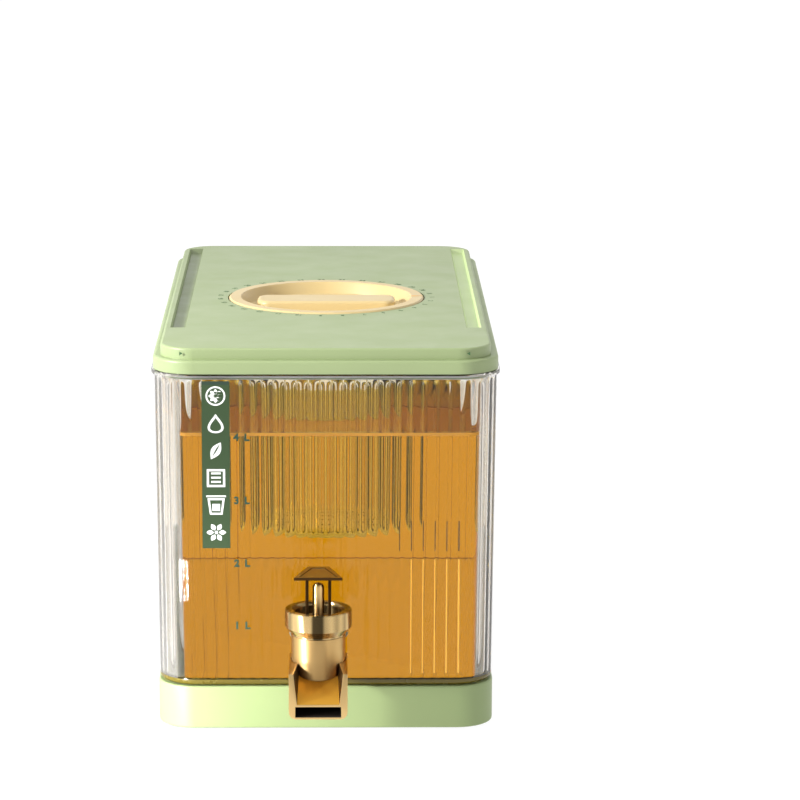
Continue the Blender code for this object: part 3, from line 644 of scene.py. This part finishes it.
def mark_tank(mesh):
    """Marks the corners, given a faint milky haze as a painted sheen for their pale look from the
    front, and the foot band, painted dark olive for the green plinth seen through it.
    """
    for polygon in mesh.polygons:
        middle = polygon.center
        reach = wall_size(middle.z, 0) / 2 - Vector((TANK_CORNER, TANK_CORNER))
        x, y = abs(middle.x) - reach.x, abs(middle.y - JUG_Y) - reach.y
        if middle.z < TANK_LOW.z + FOOT_BAND:
            if abs(polygon.normal.z) < 0.9 and middle.y < JUG_Y + reach.y:
                polygon.material_index = 2
        elif x > 0 and y > 0 and math.degrees(math.atan2(x, y)) > CORNER_FROM:
            polygon.material_index = 1


def build_tank():
    bottom, top = TANK_LOW.z, TANK_HIGH.z
    lip = top - LIP_HEIGHT
    rings = []
    for height in (bottom + RECESS_DEPTH, bottom):
        ring = []
        for segment, share in STATIONS:
            point, _ = outline_point(RECESS, 8 * MM, segment, share)
            ring.append((point.x, JUG_Y + point.y, height))
        rings.append(ring)
    for height, inset in arc_levels(bottom, 0, FOOT_ROUND, 5, True):
        rings.append(wall_ring(STATIONS, height, inset))
    ends = ((0.6, 0.35), (1.2, 0.75), (2.2, 1.0), (3.0, 1.0))  # the last keeps the shading level beyond
    for rise, share in ends:
        rings.append(wall_ring(STATIONS, bottom + FOOT_ROUND + rise * MM, 0, share))
    for step in (-1.5, -0.5, 0.5, 1.5):
        rings.append(wall_ring(STATIONS, PANEL_TOP + step * MM, 0, 1.0))
    for drop, share in reversed(ends):
        rings.append(wall_ring(STATIONS, lip - 0.4 * MM - drop * MM, 0, share))
    rings.append(wall_ring(STATIONS, lip, 0))
    edge = 0.3 * MM
    near = LIP_REACH - edge
    for height, reach in ((lip, near), (lip + edge, LIP_REACH), (top - edge, LIP_REACH), (top, near)):
        rings.append(wall_ring(STATIONS, height, -reach))
    rings.append(wall_ring(STATIONS, top, WALL - edge))
    for height in (top - edge, top - 1.5 * MM):
        rings.append(wall_ring(STATIONS, height, WALL))
    rings.append(sloped(wall_ring(STATIONS, bottom + FLOOR + INNER_ROUND + 1.0 * MM, WALL)))
    for height, inset in arc_levels(bottom + FLOOR, WALL, INNER_ROUND, 3, False):
        rings.append(sloped(wall_ring(STATIONS, height, inset)))
    mesh = loft("tank_shell", rings)
    mark_tank(mesh)
    shell = piece("tank_shell", mesh, "jug", "clear_plastic", TANK_CLEAR, TANK_CORNER_SHEEN, TANK_FOOT)
    port = (TAP_X, FRONT_Y + 2 * MM, SHANK_Z)
    cut_away(shell, rod(SHANK_HOLE, -8 * MM, 8 * MM, port, FORWARD, 48))
    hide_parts("tank")


def drink_ring(height, inset=0.0):
    size = wall_size(height, WALL + DRINK_GAP + inset)
    size.x -= DRINK_LEFT + DRINK_RIGHT - 2 * (WALL + DRINK_GAP)
    ring = outline_ring(size, DRINK_CORNER - inset, height)
    return [(x + (DRINK_LEFT - DRINK_RIGHT) / 2, y, z) for x, y, z in ring]


def build_drink():
    """The drink, with a small meniscus round its top that glows as a painted highlight, and a film that
    paints an amber tint into what the drink's surface mirrors.
    """
    low = TANK_LOW.z + FLOOR + DRINK_GAP
    foot = arc_levels(low, 0, DRINK_ROUND, 3, True)
    rings = [sloped(drink_ring(height, inset)) for height, inset in foot]
    rings.append(sloped(drink_ring(low + DRINK_ROUND + 1.0 * MM)))
    for rise, inset in ((-1.5, 0.0), (-0.8, 0.0), (0.5, 0.0), (0.25, 0.5), (0.1, 1.2), (0.0, 2.6)):
        rings.append(drink_ring(DRINK_TOP + rise * MM, inset * MM))
    # 2 marks the glowing meniscus ring, a painted highlight; 1 marks the floor's faces
    marks = [1] * (len(foot) - 1) + [0, 0, 0, 2, 0, 0, 0]
    body = loft("drink", rings, lambda level: marks[level])
    piece("drink", body, "jug", None, DRINK, DRINK_FLOOR, DRINK_MENISCUS_GLOW)
    film = [drink_ring(DRINK_TOP + rise * MM, 0.3 * MM) for rise in (0.8, 0.9)]
    piece("drink_film", loft("drink_film", film), "jug", None, DRINK_REFLECTION_TINT)


CIRCLE_STEPS = 120
BASKET_SLOTS = 30
BASKET_WALL = 1.5 * MM
BASKET_ROUND = 4.0 * MM
BASKET_RIM = 1.8 * MM
BASKET_SLOT = Vector((3.9, 6.0)) * MM
BASKET_FRAME = Vector((0.4, 0.3)) * MM  # width and depth of the recess round each slot, painted dark as shade
BASKET_SLOT_ENDS = Vector((3.0, 7.5)) * MM  # above the basket's bottom, and below its top
BASKET_HOLES = ((0.0, 1), (9.0 * MM, 8), (18.0 * MM, 16), (26.5 * MM, 24))  # (ring radius, count)
BASKET_HOLE = 1.4 * MM


def round_levels(radius, height, corner):
    """(radius, height) pairs round a dish's bottom edge, from its floor out and up."""
    return [(radius - inset, level) for level, inset in arc_levels(height, 0, corner, 5, True)]


def slot_cutters(grow, radius, holes=()):
    """Upright slots with round ends, grown on all sides and centred at a radius, and floor holes."""
    bm = bmesh.new()
    low, high = BASKET_BOTTOM + BASKET_SLOT_ENDS.x, BASKET_HIGH.z - BASKET_SLOT_ENDS.y
    outline = round_ended(BASKET_SLOT.x + 2 * grow, high - low + 2 * grow)
    slot = flat_shape("slot", [outline], BASKET_SLOT.y)
    middle = (low + high) / 2
    axis = Matrix.Translation((CAP_AXIS.x, CAP_AXIS.y, 0))
    for i in range(BASKET_SLOTS):
        turn = Matrix.Rotation(math.tau * (i + 0.5) / BASKET_SLOTS, 4, "Z")
        out = Matrix.Translation((0, -radius, middle))
        cut = slot.copy()
        cut.transform(axis @ turn @ out @ FORWARD)
        bm.from_mesh(cut)
    for away, count in holes:
        for i in range(count):
            turn = Matrix.Rotation(math.tau * i / count, 4, "Z")
            bmesh.ops.create_cone(
                bm, cap_ends=True, segments=16, radius1=BASKET_HOLE, radius2=BASKET_HOLE, depth=8 * MM,
                matrix=axis @ turn @ Matrix.Translation((away, 0, BASKET_BOTTOM)),
            )
    return from_bmesh("slots", bm)


def round_ended(width, length, points=8):
    """An upright slot's outline: a rectangle with half-circle ends."""
    r = width / 2
    turns = [math.pi * i / points for i in range(points + 1)]
    top = [(r * math.cos(turn), length / 2 - r + r * math.sin(turn)) for turn in turns]
    return top + [(-x, -y) for x, y in top]


def build_basket():
    """The infuser basket: a dish with slotted walls and a rim that lies on the lid's ledge."""
    outer, inner, rim = BASKET_RADIUS, BASKET_RADIUS - BASKET_WALL, BASKET_HIGH.x
    top, rim_low = BASKET_HIGH.z, BASKET_HIGH.z - BASKET_RIM
    above_round = BASKET_BOTTOM + BASKET_ROUND + 1.0 * MM
    fine, edge = 0.3 * MM, 0.6 * MM
    profile = round_levels(outer, BASKET_BOTTOM, BASKET_ROUND)
    profile += [
        (outer, above_round), (outer, rim_low - 1.6 * MM),
        (outer, rim_low - edge), (outer + edge, rim_low),
        (rim - fine, rim_low), (rim, rim_low + fine), (rim, top - fine), (rim - fine, top),
        (inner + 0.5 * MM, top), (inner, top - 0.5 * MM), (inner, top - 1.5 * MM), (inner, above_round),
    ]
    profile += round_levels(inner, BASKET_BOTTOM + BASKET_WALL, BASKET_ROUND - BASKET_WALL)[::-1]
    mesh = loft("infuser_basket", [circle_ring(radius, height) for radius, height in profile])
    basket = piece("infuser_basket", mesh, "basket", "clear_plastic", BASKET_PLASTIC)
    # The cut walls take the dark painted shade
    recessed = BASKET_RADIUS - BASKET_FRAME.y + BASKET_SLOT.y / 2
    cut_away(basket, slot_cutters(BASKET_FRAME.x, recessed), BASKET_SLOT_SHADE)
    cut_away(basket, slot_cutters(0, BASKET_RADIUS - BASKET_WALL / 2, BASKET_HOLES), BASKET_SLOT_SHADE)
    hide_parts("basket")


# ---------------------------------------------------------------- tap


def box_mesh(name, low, high, round_under=0.0):
    """A box between two corners; its lower side edges, along Y, can be rounded."""
    bm = bmesh.new()
    bmesh.ops.create_cube(bm, size=1)
    middle, size = (Vector(low) + Vector(high)) / 2, Vector(high) - Vector(low)
    for vert in bm.verts:
        vert.co = middle + Vector(a * b for a, b in zip(vert.co, size))
    if round_under:
        under = [
            edge for edge in bm.edges
            if all(abs(vert.co.z - low[2]) < 1e-6 for vert in edge.verts)
            and abs(edge.verts[0].co.x - edge.verts[1].co.x) < 1e-6
        ]
        bmesh.ops.bevel(bm, geom=under, offset=round_under, segments=6, profile=0.5, affect="EDGES")
    return from_bmesh(name, bm)


def soft_edges(obj, width, segments=2):
    """Bevels the sharp edges of an object for good."""
    bevel = obj.modifiers.new("soft_edges", "BEVEL")
    bevel.width = width
    bevel.segments = segments
    bevel.limit_method = "ANGLE"
    bevel.angle_limit = math.radians(40)
    obj.data = finished(obj)
    obj.modifiers.clear()
    shade_soft(obj.data)


TAP_Y = FRONT_Y - 24.5 * MM
BARREL_SOCKET = 11.45 * MM
TROUGH_FLOOR = 25.7 * MM
TROUGH_SLOPE = 0.5
TROUGH_HALF = (7.6 * MM, 8.7 * MM)  # half width of its floor, behind and at the lip
CHEEK = 1.3 * MM
MOUTH_HALF = 9.3 * MM
MOUTH_HEIGHTS = (20.4 * MM, 24.7 * MM)


def build_spout():
    """The spout: an open trough with thin cheeks over the flat outlet. The trough's floor carries a
    painted reflection, and its cheeks, the barrel socket and the outlet carry painted shade.
    """
    block = box_mesh("spout_shell", SPOUT_LOW, SPOUT_HIGH, 3 * MM)
    spout = piece("spout_shell", block, "jug", "gold_plating", GOLD)
    bm = bmesh.new()
    bmesh.ops.create_cube(bm, size=1)
    ends = (SPOUT_HIGH.y - 6 * MM, SPOUT_LOW.y - 2 * MM)
    for vert in bm.verts:
        front = int(vert.co.y < 0)
        half, y = TROUGH_HALF[front], ends[front]
        height = TROUGH_FLOOR + TROUGH_SLOPE * (y - SPOUT_LOW.y)
        if vert.co.z > 0:
            half, height = (SPOUT_HIGH.x - SPOUT_LOW.x) / 2 - CHEEK, SPOUT_HIGH.z + 3 * MM
        vert.co = (TAP_X + math.copysign(half, vert.co.x), y, height)
    # Faces high on the trough take the painted shade, its floor the painted reflection
    for face in bm.faces:
        face.material_index = int(face.calc_center_median().z > TROUGH_FLOOR + 8 * MM)
    bmesh.ops.triangulate(bm, faces=bm.faces)
    cut_away(spout, from_bmesh("trough", bm), GOLD_FLOOR_PAINTED_REFLECTION, GOLD_SHADE)
    barrel = rod(BARREL_SOCKET, 31 * MM, 50 * MM, (TAP_X, TAP_Y, 0))
    cut_away(spout, barrel, GOLD_SHADE)
    cut_away(spout, rod(SHANK_HOLE, -10 * MM, 20 * MM, (TAP_X, FRONT_Y, SHANK_Z), FORWARD), GOLD)
    low = (TAP_X - MOUTH_HALF, SPOUT_LOW.y - 2 * MM, MOUTH_HEIGHTS[0])
    high = (TAP_X + MOUTH_HALF, SPOUT_HIGH.y - 4 * MM, MOUTH_HEIGHTS[1])
    cut_away(spout, box_mesh("outlet", low, high), OUTLET_PAINTED_SHADE)
    soft_edges(spout, 0.3 * MM)
    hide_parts("spout")


LEVER_LOW, LEVER_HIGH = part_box("tap_lever")
PIN_LOW, PIN_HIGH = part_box("lever_pin")
PADDLE = 1.2 * MM
PADDLE_BACK_HALF = 4.35 * MM
LEG_X = 4.65 * MM
LEG = 1.3 * MM
LEG_HALF = 2.2 * MM
LEG_HOLE = 1.1 * MM
CAM = Vector((3.0, 4.0, 1.2)) * MM  # the foot's reach behind and ahead of the pin, and its height


def build_lever():
    """The paddle, with a sunk panel on it, and its two legs on cam feet. The paddle's sides, two thin
    rings on its top and the legs are painted dark as shade.
    """
    pin = (PIN_LOW + PIN_HIGH) / 2
    bm = bmesh.new()
    bmesh.ops.create_cube(bm, size=1)
    for vert in bm.verts:
        near = vert.co.y < 0
        half = (LEVER_HIGH.x - LEVER_LOW.x) / 2 if near else PADDLE_BACK_HALF
        y = LEVER_LOW.y if near else LEVER_HIGH.y
        z = LEVER_HIGH.z - (0 if vert.co.z > 0 else PADDLE)
        vert.co = (TAP_X + math.copysign(half, vert.co.x), y, z)
    bm.normal_update()
    top = [face for face in bm.faces if face.normal.z > 0.5]
    for face in bm.faces:
        # Index 1 is the dark gold of painted shade
        face.material_index = 1
    for inner, thickness, depth in ((0, 0.35, 0), (1, 2.4, 0), (0, 0.35, -0.3)):
        rim = bmesh.ops.inset_region(bm, faces=top, thickness=thickness * MM, depth=depth * MM)["faces"]
        for face in rim:
            face.material_index = 1 - inner
    top[0].material_index = 0
    mesh = from_bmesh("paddle", bm)
    paddle = piece("lever_paddle", mesh, "lever", "gold_plating", GOLD_PADDLE, GOLD_SHADE)
    soft_edges(paddle, 0.1 * MM, 1)
    top, foot = LEVER_HIGH.z - PADDLE - pin.z, LEVER_LOW.z - pin.z
    outline = [
        (-LEG_HALF, top), (-LEG_HALF, 1.5 * MM), (-CAM.y, foot + CAM.z), (-CAM.y, foot),
        (CAM.x, foot), (CAM.x, foot + CAM.z), (LEG_HALF, 1.5 * MM), (LEG_HALF, top),
    ]
    sideways = Matrix(((0, 0, 1, 0), (1, 0, 0, 0), (0, 1, 0, 0), (0, 0, 0, 1)))
    leg = flat_shape("leg", [outline, circle(LEG_HOLE)], LEG)
    placed = [(leg, Matrix.Translation(pin + Vector((x, 0, 0))) @ sideways) for x in (-LEG_X, LEG_X)]
    legs = piece("lever_legs", joined("lever_legs", placed), "lever", "gold_plating", GOLD_SHADE)
    soft_edges(legs, 0.15 * MM)
    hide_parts("tap_lever")


# ---------------------------------------------------------------- printed marks


def on_front(x, z, height):
    """Places a flat XY shape on the tank's front, which leans a little, facing the tap side."""
    wall = JUG_Y - wall_size(z, 0).y / 2
    lean = math.atan((TANK_TOP_SIZE.y - TANK_BOTTOM_SIZE.y) / 2 / (TANK_HIGH.z - TANK_LOW.z))
    return Matrix.Translation((x, wall - height, z)) @ Matrix.Rotation(math.pi / 2 + lean, 4, "X")


def circle(radius, points=32):
    turns = [math.tau * i / points for i in range(points)]
    return [(radius * math.cos(turn), radius * math.sin(turn)) for turn in turns]


def petal(length, width, angle, start, points=8):
    """A leaf shape from start outwards, made of two arcs."""
    side = [
        (start + length * i / points, width / 2 * math.sin(math.pi * i / points))
        for i in range(points + 1)
    ]
    shape = side + [(x, -y) for x, y in side[-2:0:-1]]
    cos, sin = math.cos(angle), math.sin(angle)
    return [(x * cos - y * sin, x * sin + y * cos) for x, y in shape]


def bar(x0, y0, x1, y1):
    return [(x0, y0), (x1, y0), (x1, y1), (x0, y1)]


def frame_shape(width, height, line):
    w, h = width / 2, height / 2
    return [bar(-w, -h, w, h), bar(-w + line, -h + line, w - line, h - line)]


def label_shapes():
    """Six plain pictures in mm: fruit slice, drop, leaf, ice, cup and flower."""
    fruit = [circle(4.1), circle(3.4)] + [petal(2.4, 1.5, math.tau * i / 8, 0.6) for i in range(8)]
    turns = [math.tau * i / 40 for i in range(40)]
    drop = [
        [(1.15 * r * math.sin(t) * math.sin(t / 2) ** 1.5, r * math.cos(t) + shift) for t in turns]
        for r, shift in ((4.1, 0.0), (2.9, -0.45))
    ]
    leaf = [petal(8.2, 4.0, math.radians(60), -4.1), petal(6.6, 0.7, math.radians(60), -3.0)]
    ice = frame_shape(7.6, 7.6, 0.9) + [bar(-2.0, y, 2.0, y + 0.8) for y in (-0.2, -2.0, 1.6)]
    cup = [
        [(-3.6, 3.0), (3.6, 3.0), (2.6, -4.0), (-2.6, -4.0)],
        [(-2.6, 2.2), (2.6, 2.2), (1.9, -3.2), (-1.9, -3.2)],
        bar(-4.1, 3.5, 4.1, 4.2),
        bar(-1.6, -2.4, 1.6, 0.6),
    ]
    flower = [petal(3.1, 2.0, math.tau * i / 6, 1.0) for i in range(6)] + [circle(0.7, points=16)]
    return [fruit, drop, leaf, ice, cup, flower]


LABEL_LEFT, LABEL_RIGHT = -51.3 * MM, -39.7 * MM
LABEL_BOTTOM, LABEL_TOP = 78.9 * MM, 149.9 * MM
LABEL_EDGE = 1.5 * MM
LABEL_THICKNESS = 0.12 * MM
LABEL_PROUD = 0.25 * MM
PRINT = 0.08 * MM  # thickness of printed shapes
ICON_TOP, ICON_PITCH = 143.7 * MM, 11.6 * MM


def scaled(outlines, factor):
    return [[(x * factor, y * factor) for x, y in outline] for outline in outlines]


def build_label():
    width = LABEL_RIGHT - LABEL_LEFT
    middle = (LABEL_LEFT + LABEL_RIGHT) / 2
    # The label's top end takes the darker green, a painted shadow of the tank's lip
    for name, low, high, paint in (
        ("label", LABEL_BOTTOM, LABEL_TOP - LABEL_EDGE, LABEL_GREEN),
        ("label_top_painted_shade", LABEL_TOP - LABEL_EDGE, LABEL_TOP, LABEL_SHADE),
    ):
        half = (high - low) / 2
        mesh = flat_shape(name, [bar(-width / 2, -half, width / 2, half)], LABEL_THICKNESS)
        mesh.transform(on_front(middle, low + half, LABEL_PROUD))
        piece(name, mesh, "jug", None, paint)
    placed = []
    for i, shapes in enumerate(label_shapes()):
        mesh = flat_shape("icon", scaled(shapes, MM), PRINT)
        placed.append((mesh, on_front(middle, ICON_TOP - i * ICON_PITCH, LABEL_PROUD + 0.1 * MM)))
    piece("label_pictures", joined("label_pictures", placed), "jug", None, INK_WHITE)


CAPITAL = 0.73  # height of a capital in the built-in font, as a share of its size


def letters(text, height, spacing=1.0, weight=0.0):
    """Plain sans figures as a flat mesh, centred, with the given capital height."""
    curve = bpy.data.curves.new("figures", "FONT")
    curve.body = text
    curve.size = height / CAPITAL
    curve.space_character = spacing
    curve.align_x = "CENTER"
    curve.align_y = "CENTER"
    curve.extrude = 0.03 * MM
    curve.offset = weight
    curve.resolution_u = 3
    return curve_mesh("figures", curve)


MARK_X = -34.9 * MM
MARK_HEIGHT, MARK_SPACING, MARK_WEIGHT = 3.1 * MM, 1.25, 0.2 * MM
MARK_PROUD = 0.15 * MM
LITRE = 26.9 * MM
ONE_LITRE_Z = 45.35 * MM


def build_scale():
    placed = []
    for i in range(4):
        mesh = letters(f"{i + 1} L", MARK_HEIGHT, MARK_SPACING, MARK_WEIGHT)
        placed.append((mesh, on_front(MARK_X, ONE_LITRE_Z + i * LITRE, MARK_PROUD)))
    piece("scale_marks", joined("scale_marks", placed), "jug", None, INK_TEAL)


GLINT_X = 35.7 * MM
GLINT_STEP = 5.0 * MM
GLINT_INSET = 0.25 * MM  # middle of the lines behind the drink's front
GLINT_THICKNESS = 0.1 * MM
GLINT_SPAN = (24.0 * MM, 73.5 * MM)
SHADE_SPAN = (77.0 * MM, 90.0 * MM)


def build_glints():
    """Painted highlights and shade: thin upright lines in the drink right of the tap, glowing ones
    below for the flutes' glints, short dark ones above.
    """
    for name, (low, high), width, first, material in (
        ("drink_glints", GLINT_SPAN, 0.6 * MM, 0, DRINK_GLINT),
        ("drink_shades", SHADE_SPAN, 0.5 * MM, -1, DRINK_SHADE),
    ):
        middle = (low + high) / 2
        behind = WALL + DRINK_GAP + GLINT_INSET
        line = flat_shape(name, [round_ended(width, high - low)], GLINT_THICKNESS)
        placed = [
            (line, on_front(GLINT_X + i * GLINT_STEP, middle, -behind)) for i in range(first, 5)
        ]
        piece(name, joined(name, placed), "jug", None, material)


DIAL_RADIUS = 47.2 * MM
DATE_HEIGHT = 2.4 * MM
DAYS = 31
POINTER_X = 38.6 * MM
LIFT = 0.04 * MM  # how far printed shapes stand off the lid and the cap


def build_dial():
    """A date ring of 31 days round the cap, the cap's pointer and the two lid marks."""
    placed = []
    for day in range(DAYS):
        turn = Matrix.Rotation(-math.tau * day / DAYS, 4, "Z")
        spot = Matrix.Translation((CAP_AXIS.x, CAP_AXIS.y, PLATE_TOP + LIFT)) @ turn
        spot = spot @ Matrix.Translation((DIAL_RADIUS, 0, 0)) @ Matrix.Rotation(-math.pi / 2, 4, "Z")
        placed.append((letters(str(day + 1), DATE_HEIGHT), spot))
    piece("date_ring", joined("date_ring", placed), "lid", None, INK_DARK)
    tip = [(4.2 * MM, 0), (-0.6 * MM, 1.0 * MM), (-0.6 * MM, -1.0 * MM)]
    mesh = flat_shape("pointer", [tip], PRINT)
    mesh.transform(Matrix.Translation((CAP_AXIS.x + POINTER_X, CAP_AXIS.y, CAP_HIGH.z + LIFT)))
    piece("cap_pointer", mesh, "cap", None, INK_ORANGE)
    placed = []
    arrow = flat_shape("mark", [[(0.9 * MM, 0), (-0.5 * MM, 0.8 * MM), (-0.5 * MM, -0.8 * MM)]], PRINT)
    for x, turn in ((-59.9 * MM, 0.0), (59.2 * MM, math.pi)):
        front = Matrix.Translation((x, FRONT_Y + TIER_STEP - LIFT, PLATE_TOP - 2.2 * MM))
        placed.append((arrow, front @ FORWARD @ Matrix.Rotation(turn, 4, "Z")))
    piece("lid_marks", joined("lid_marks", placed), "lid", None, INK_DARK)


build_tank()
build_drink()
build_basket()
build_spout()
build_lever()
build_label()
build_scale()
build_glints()
build_dial()


# ---------------------------------------------------------------- floor, light and camera


def build_floor():
    """A pale floor that gives off most of its own light, so that it meets the white behind it."""
    bm = bmesh.new()
    bmesh.ops.create_grid(bm, x_segments=1, y_segments=1, size=20)
    floor = add_object("floor", from_bmesh("floor", bm))
    paint = Paint("studio_floor", base_color=(0.1, 0.1, 0.1), roughness=0.9, specular_ior_level=0.0)
    paint.set(paint.shader, emission_color=(1.0, 1.0, 1.0), emission_strength=0.95)
    floor.data.materials.append(paint.material)


TOP_LEVEL = 1.7
TOP_FROM = (0.90, 0.99)  # how steeply up the soft top starts and is full
# Brightness of the studio's walls by compass angle from the front (degrees, positive to the right)
STUDIO_WALLS = (
    (-180, 1.0), (-100, 1.0), (-75, 0.9), (-64, 0.45), (-50, 0.4), (-46, 2.2), (-32, 2.2), (-27, 0.25),
    (0, 0.15), (32, 0.25), (37, 1.4), (50, 1.4), (55, 0.4), (72, 0.5), (95, 0.9), (180, 1.0),
)


def build_world():
    """White studio behind the jug, dark in front, with two upright strip lights and a soft top."""
    world = bpy.data.worlds.new("studio")
    bpy.context.scene.world = world
    world.use_nodes = True
    tree = world.node_tree
    background = tree.nodes["Background"]
    place = tree.nodes.new("ShaderNodeTexCoord")
    split = tree.nodes.new("ShaderNodeSeparateXYZ")
    tree.links.new(place.outputs["Generated"], split.inputs["Vector"])
    front = tree.nodes.new("ShaderNodeMath")
    front.operation = "MULTIPLY"
    front.inputs[1].default_value = -1
    tree.links.new(split.outputs["Y"], front.inputs[0])
    peak = max(level for _, level in STUDIO_WALLS)
    stops = [(degrees, level / peak) for degrees, level in STUDIO_WALLS]
    walls = compass(tree, split.outputs["X"], front.outputs["Value"], stops)
    top = tree.nodes.new("ShaderNodeMapRange")
    top.interpolation_type = "SMOOTHSTEP"
    top.inputs["From Min"].default_value, top.inputs["From Max"].default_value = TOP_FROM
    tree.links.new(split.outputs["Z"], top.inputs["Value"])
    mix = tree.nodes.new("ShaderNodeMix")
    mix.data_type = "RGBA"
    tree.links.new(top.outputs["Result"], mix.inputs["Factor"])
    tree.links.new(walls, mix.inputs["A"])
    mix.inputs["B"].default_value = (TOP_LEVEL / peak, TOP_LEVEL / peak, TOP_LEVEL / peak, 1)
    tree.links.new(mix.outputs["Result"], background.inputs["Color"])
    background.inputs["Strength"].default_value = peak


def area_light(name, place, target, size, power, spread=180):
    """A square light facing its target; spread is the angle of its beam in degrees."""
    light = bpy.data.lights.new(name, "AREA")
    light.size = size
    light.energy = power
    light.spread = math.radians(spread)
    made = add_object(name, light)
    made.location = place
    made.rotation_euler = (Vector(target) - Vector(place)).to_track_quat("-Z", "Y").to_euler()


def build_camera():
    """Standing in front of the tap, a little above the lid, looking slightly down."""
    camera = bpy.data.cameras.new("camera")
    camera.sensor_width = 36
    camera.lens = 158.3
    camera.clip_end = 100
    made = add_object("camera", camera)
    eye = Vector((3.34 * MM, FRONT_Y - 1423.4 * MM, 431.4 * MM))
    pitch, yaw, roll = 0.2005, 0.0192, 0.0038
    made.matrix_world = (
        Matrix.Translation(eye)
        @ Matrix.Rotation(-yaw, 4, "Z")
        @ Matrix.Rotation(math.pi / 2 - pitch, 4, "X")
        @ Matrix.Rotation(roll, 4, "Z")
    )
    bpy.context.scene.camera = made


KEY_TARGET = Vector((0, FRONT_Y, 60 * MM))
KEY_WAY = Vector((-2.3, -1.0, 1.3)).normalized()
KEY_AWAY, KEY_SIZE, KEY_POWER = 0.7, 0.05, 7.35
FILL_PLACE = (-0.16, FRONT_Y - 0.12, 0.02)  # low on the left, to make the plinth pale there
FILL_TARGET = (-0.06, FRONT_Y, 0.008)
FILL_SIZE, FILL_POWER, FILL_SPREAD = 0.02, 0.12, 75

build_floor()
build_world()
area_light("key", KEY_TARGET + KEY_WAY * KEY_AWAY, KEY_TARGET, KEY_SIZE, KEY_POWER)
area_light("low_fill", FILL_PLACE, FILL_TARGET, FILL_SIZE, FILL_POWER, FILL_SPREAD)
build_camera()
bpy.context.scene.view_settings.view_transform = "Standard"
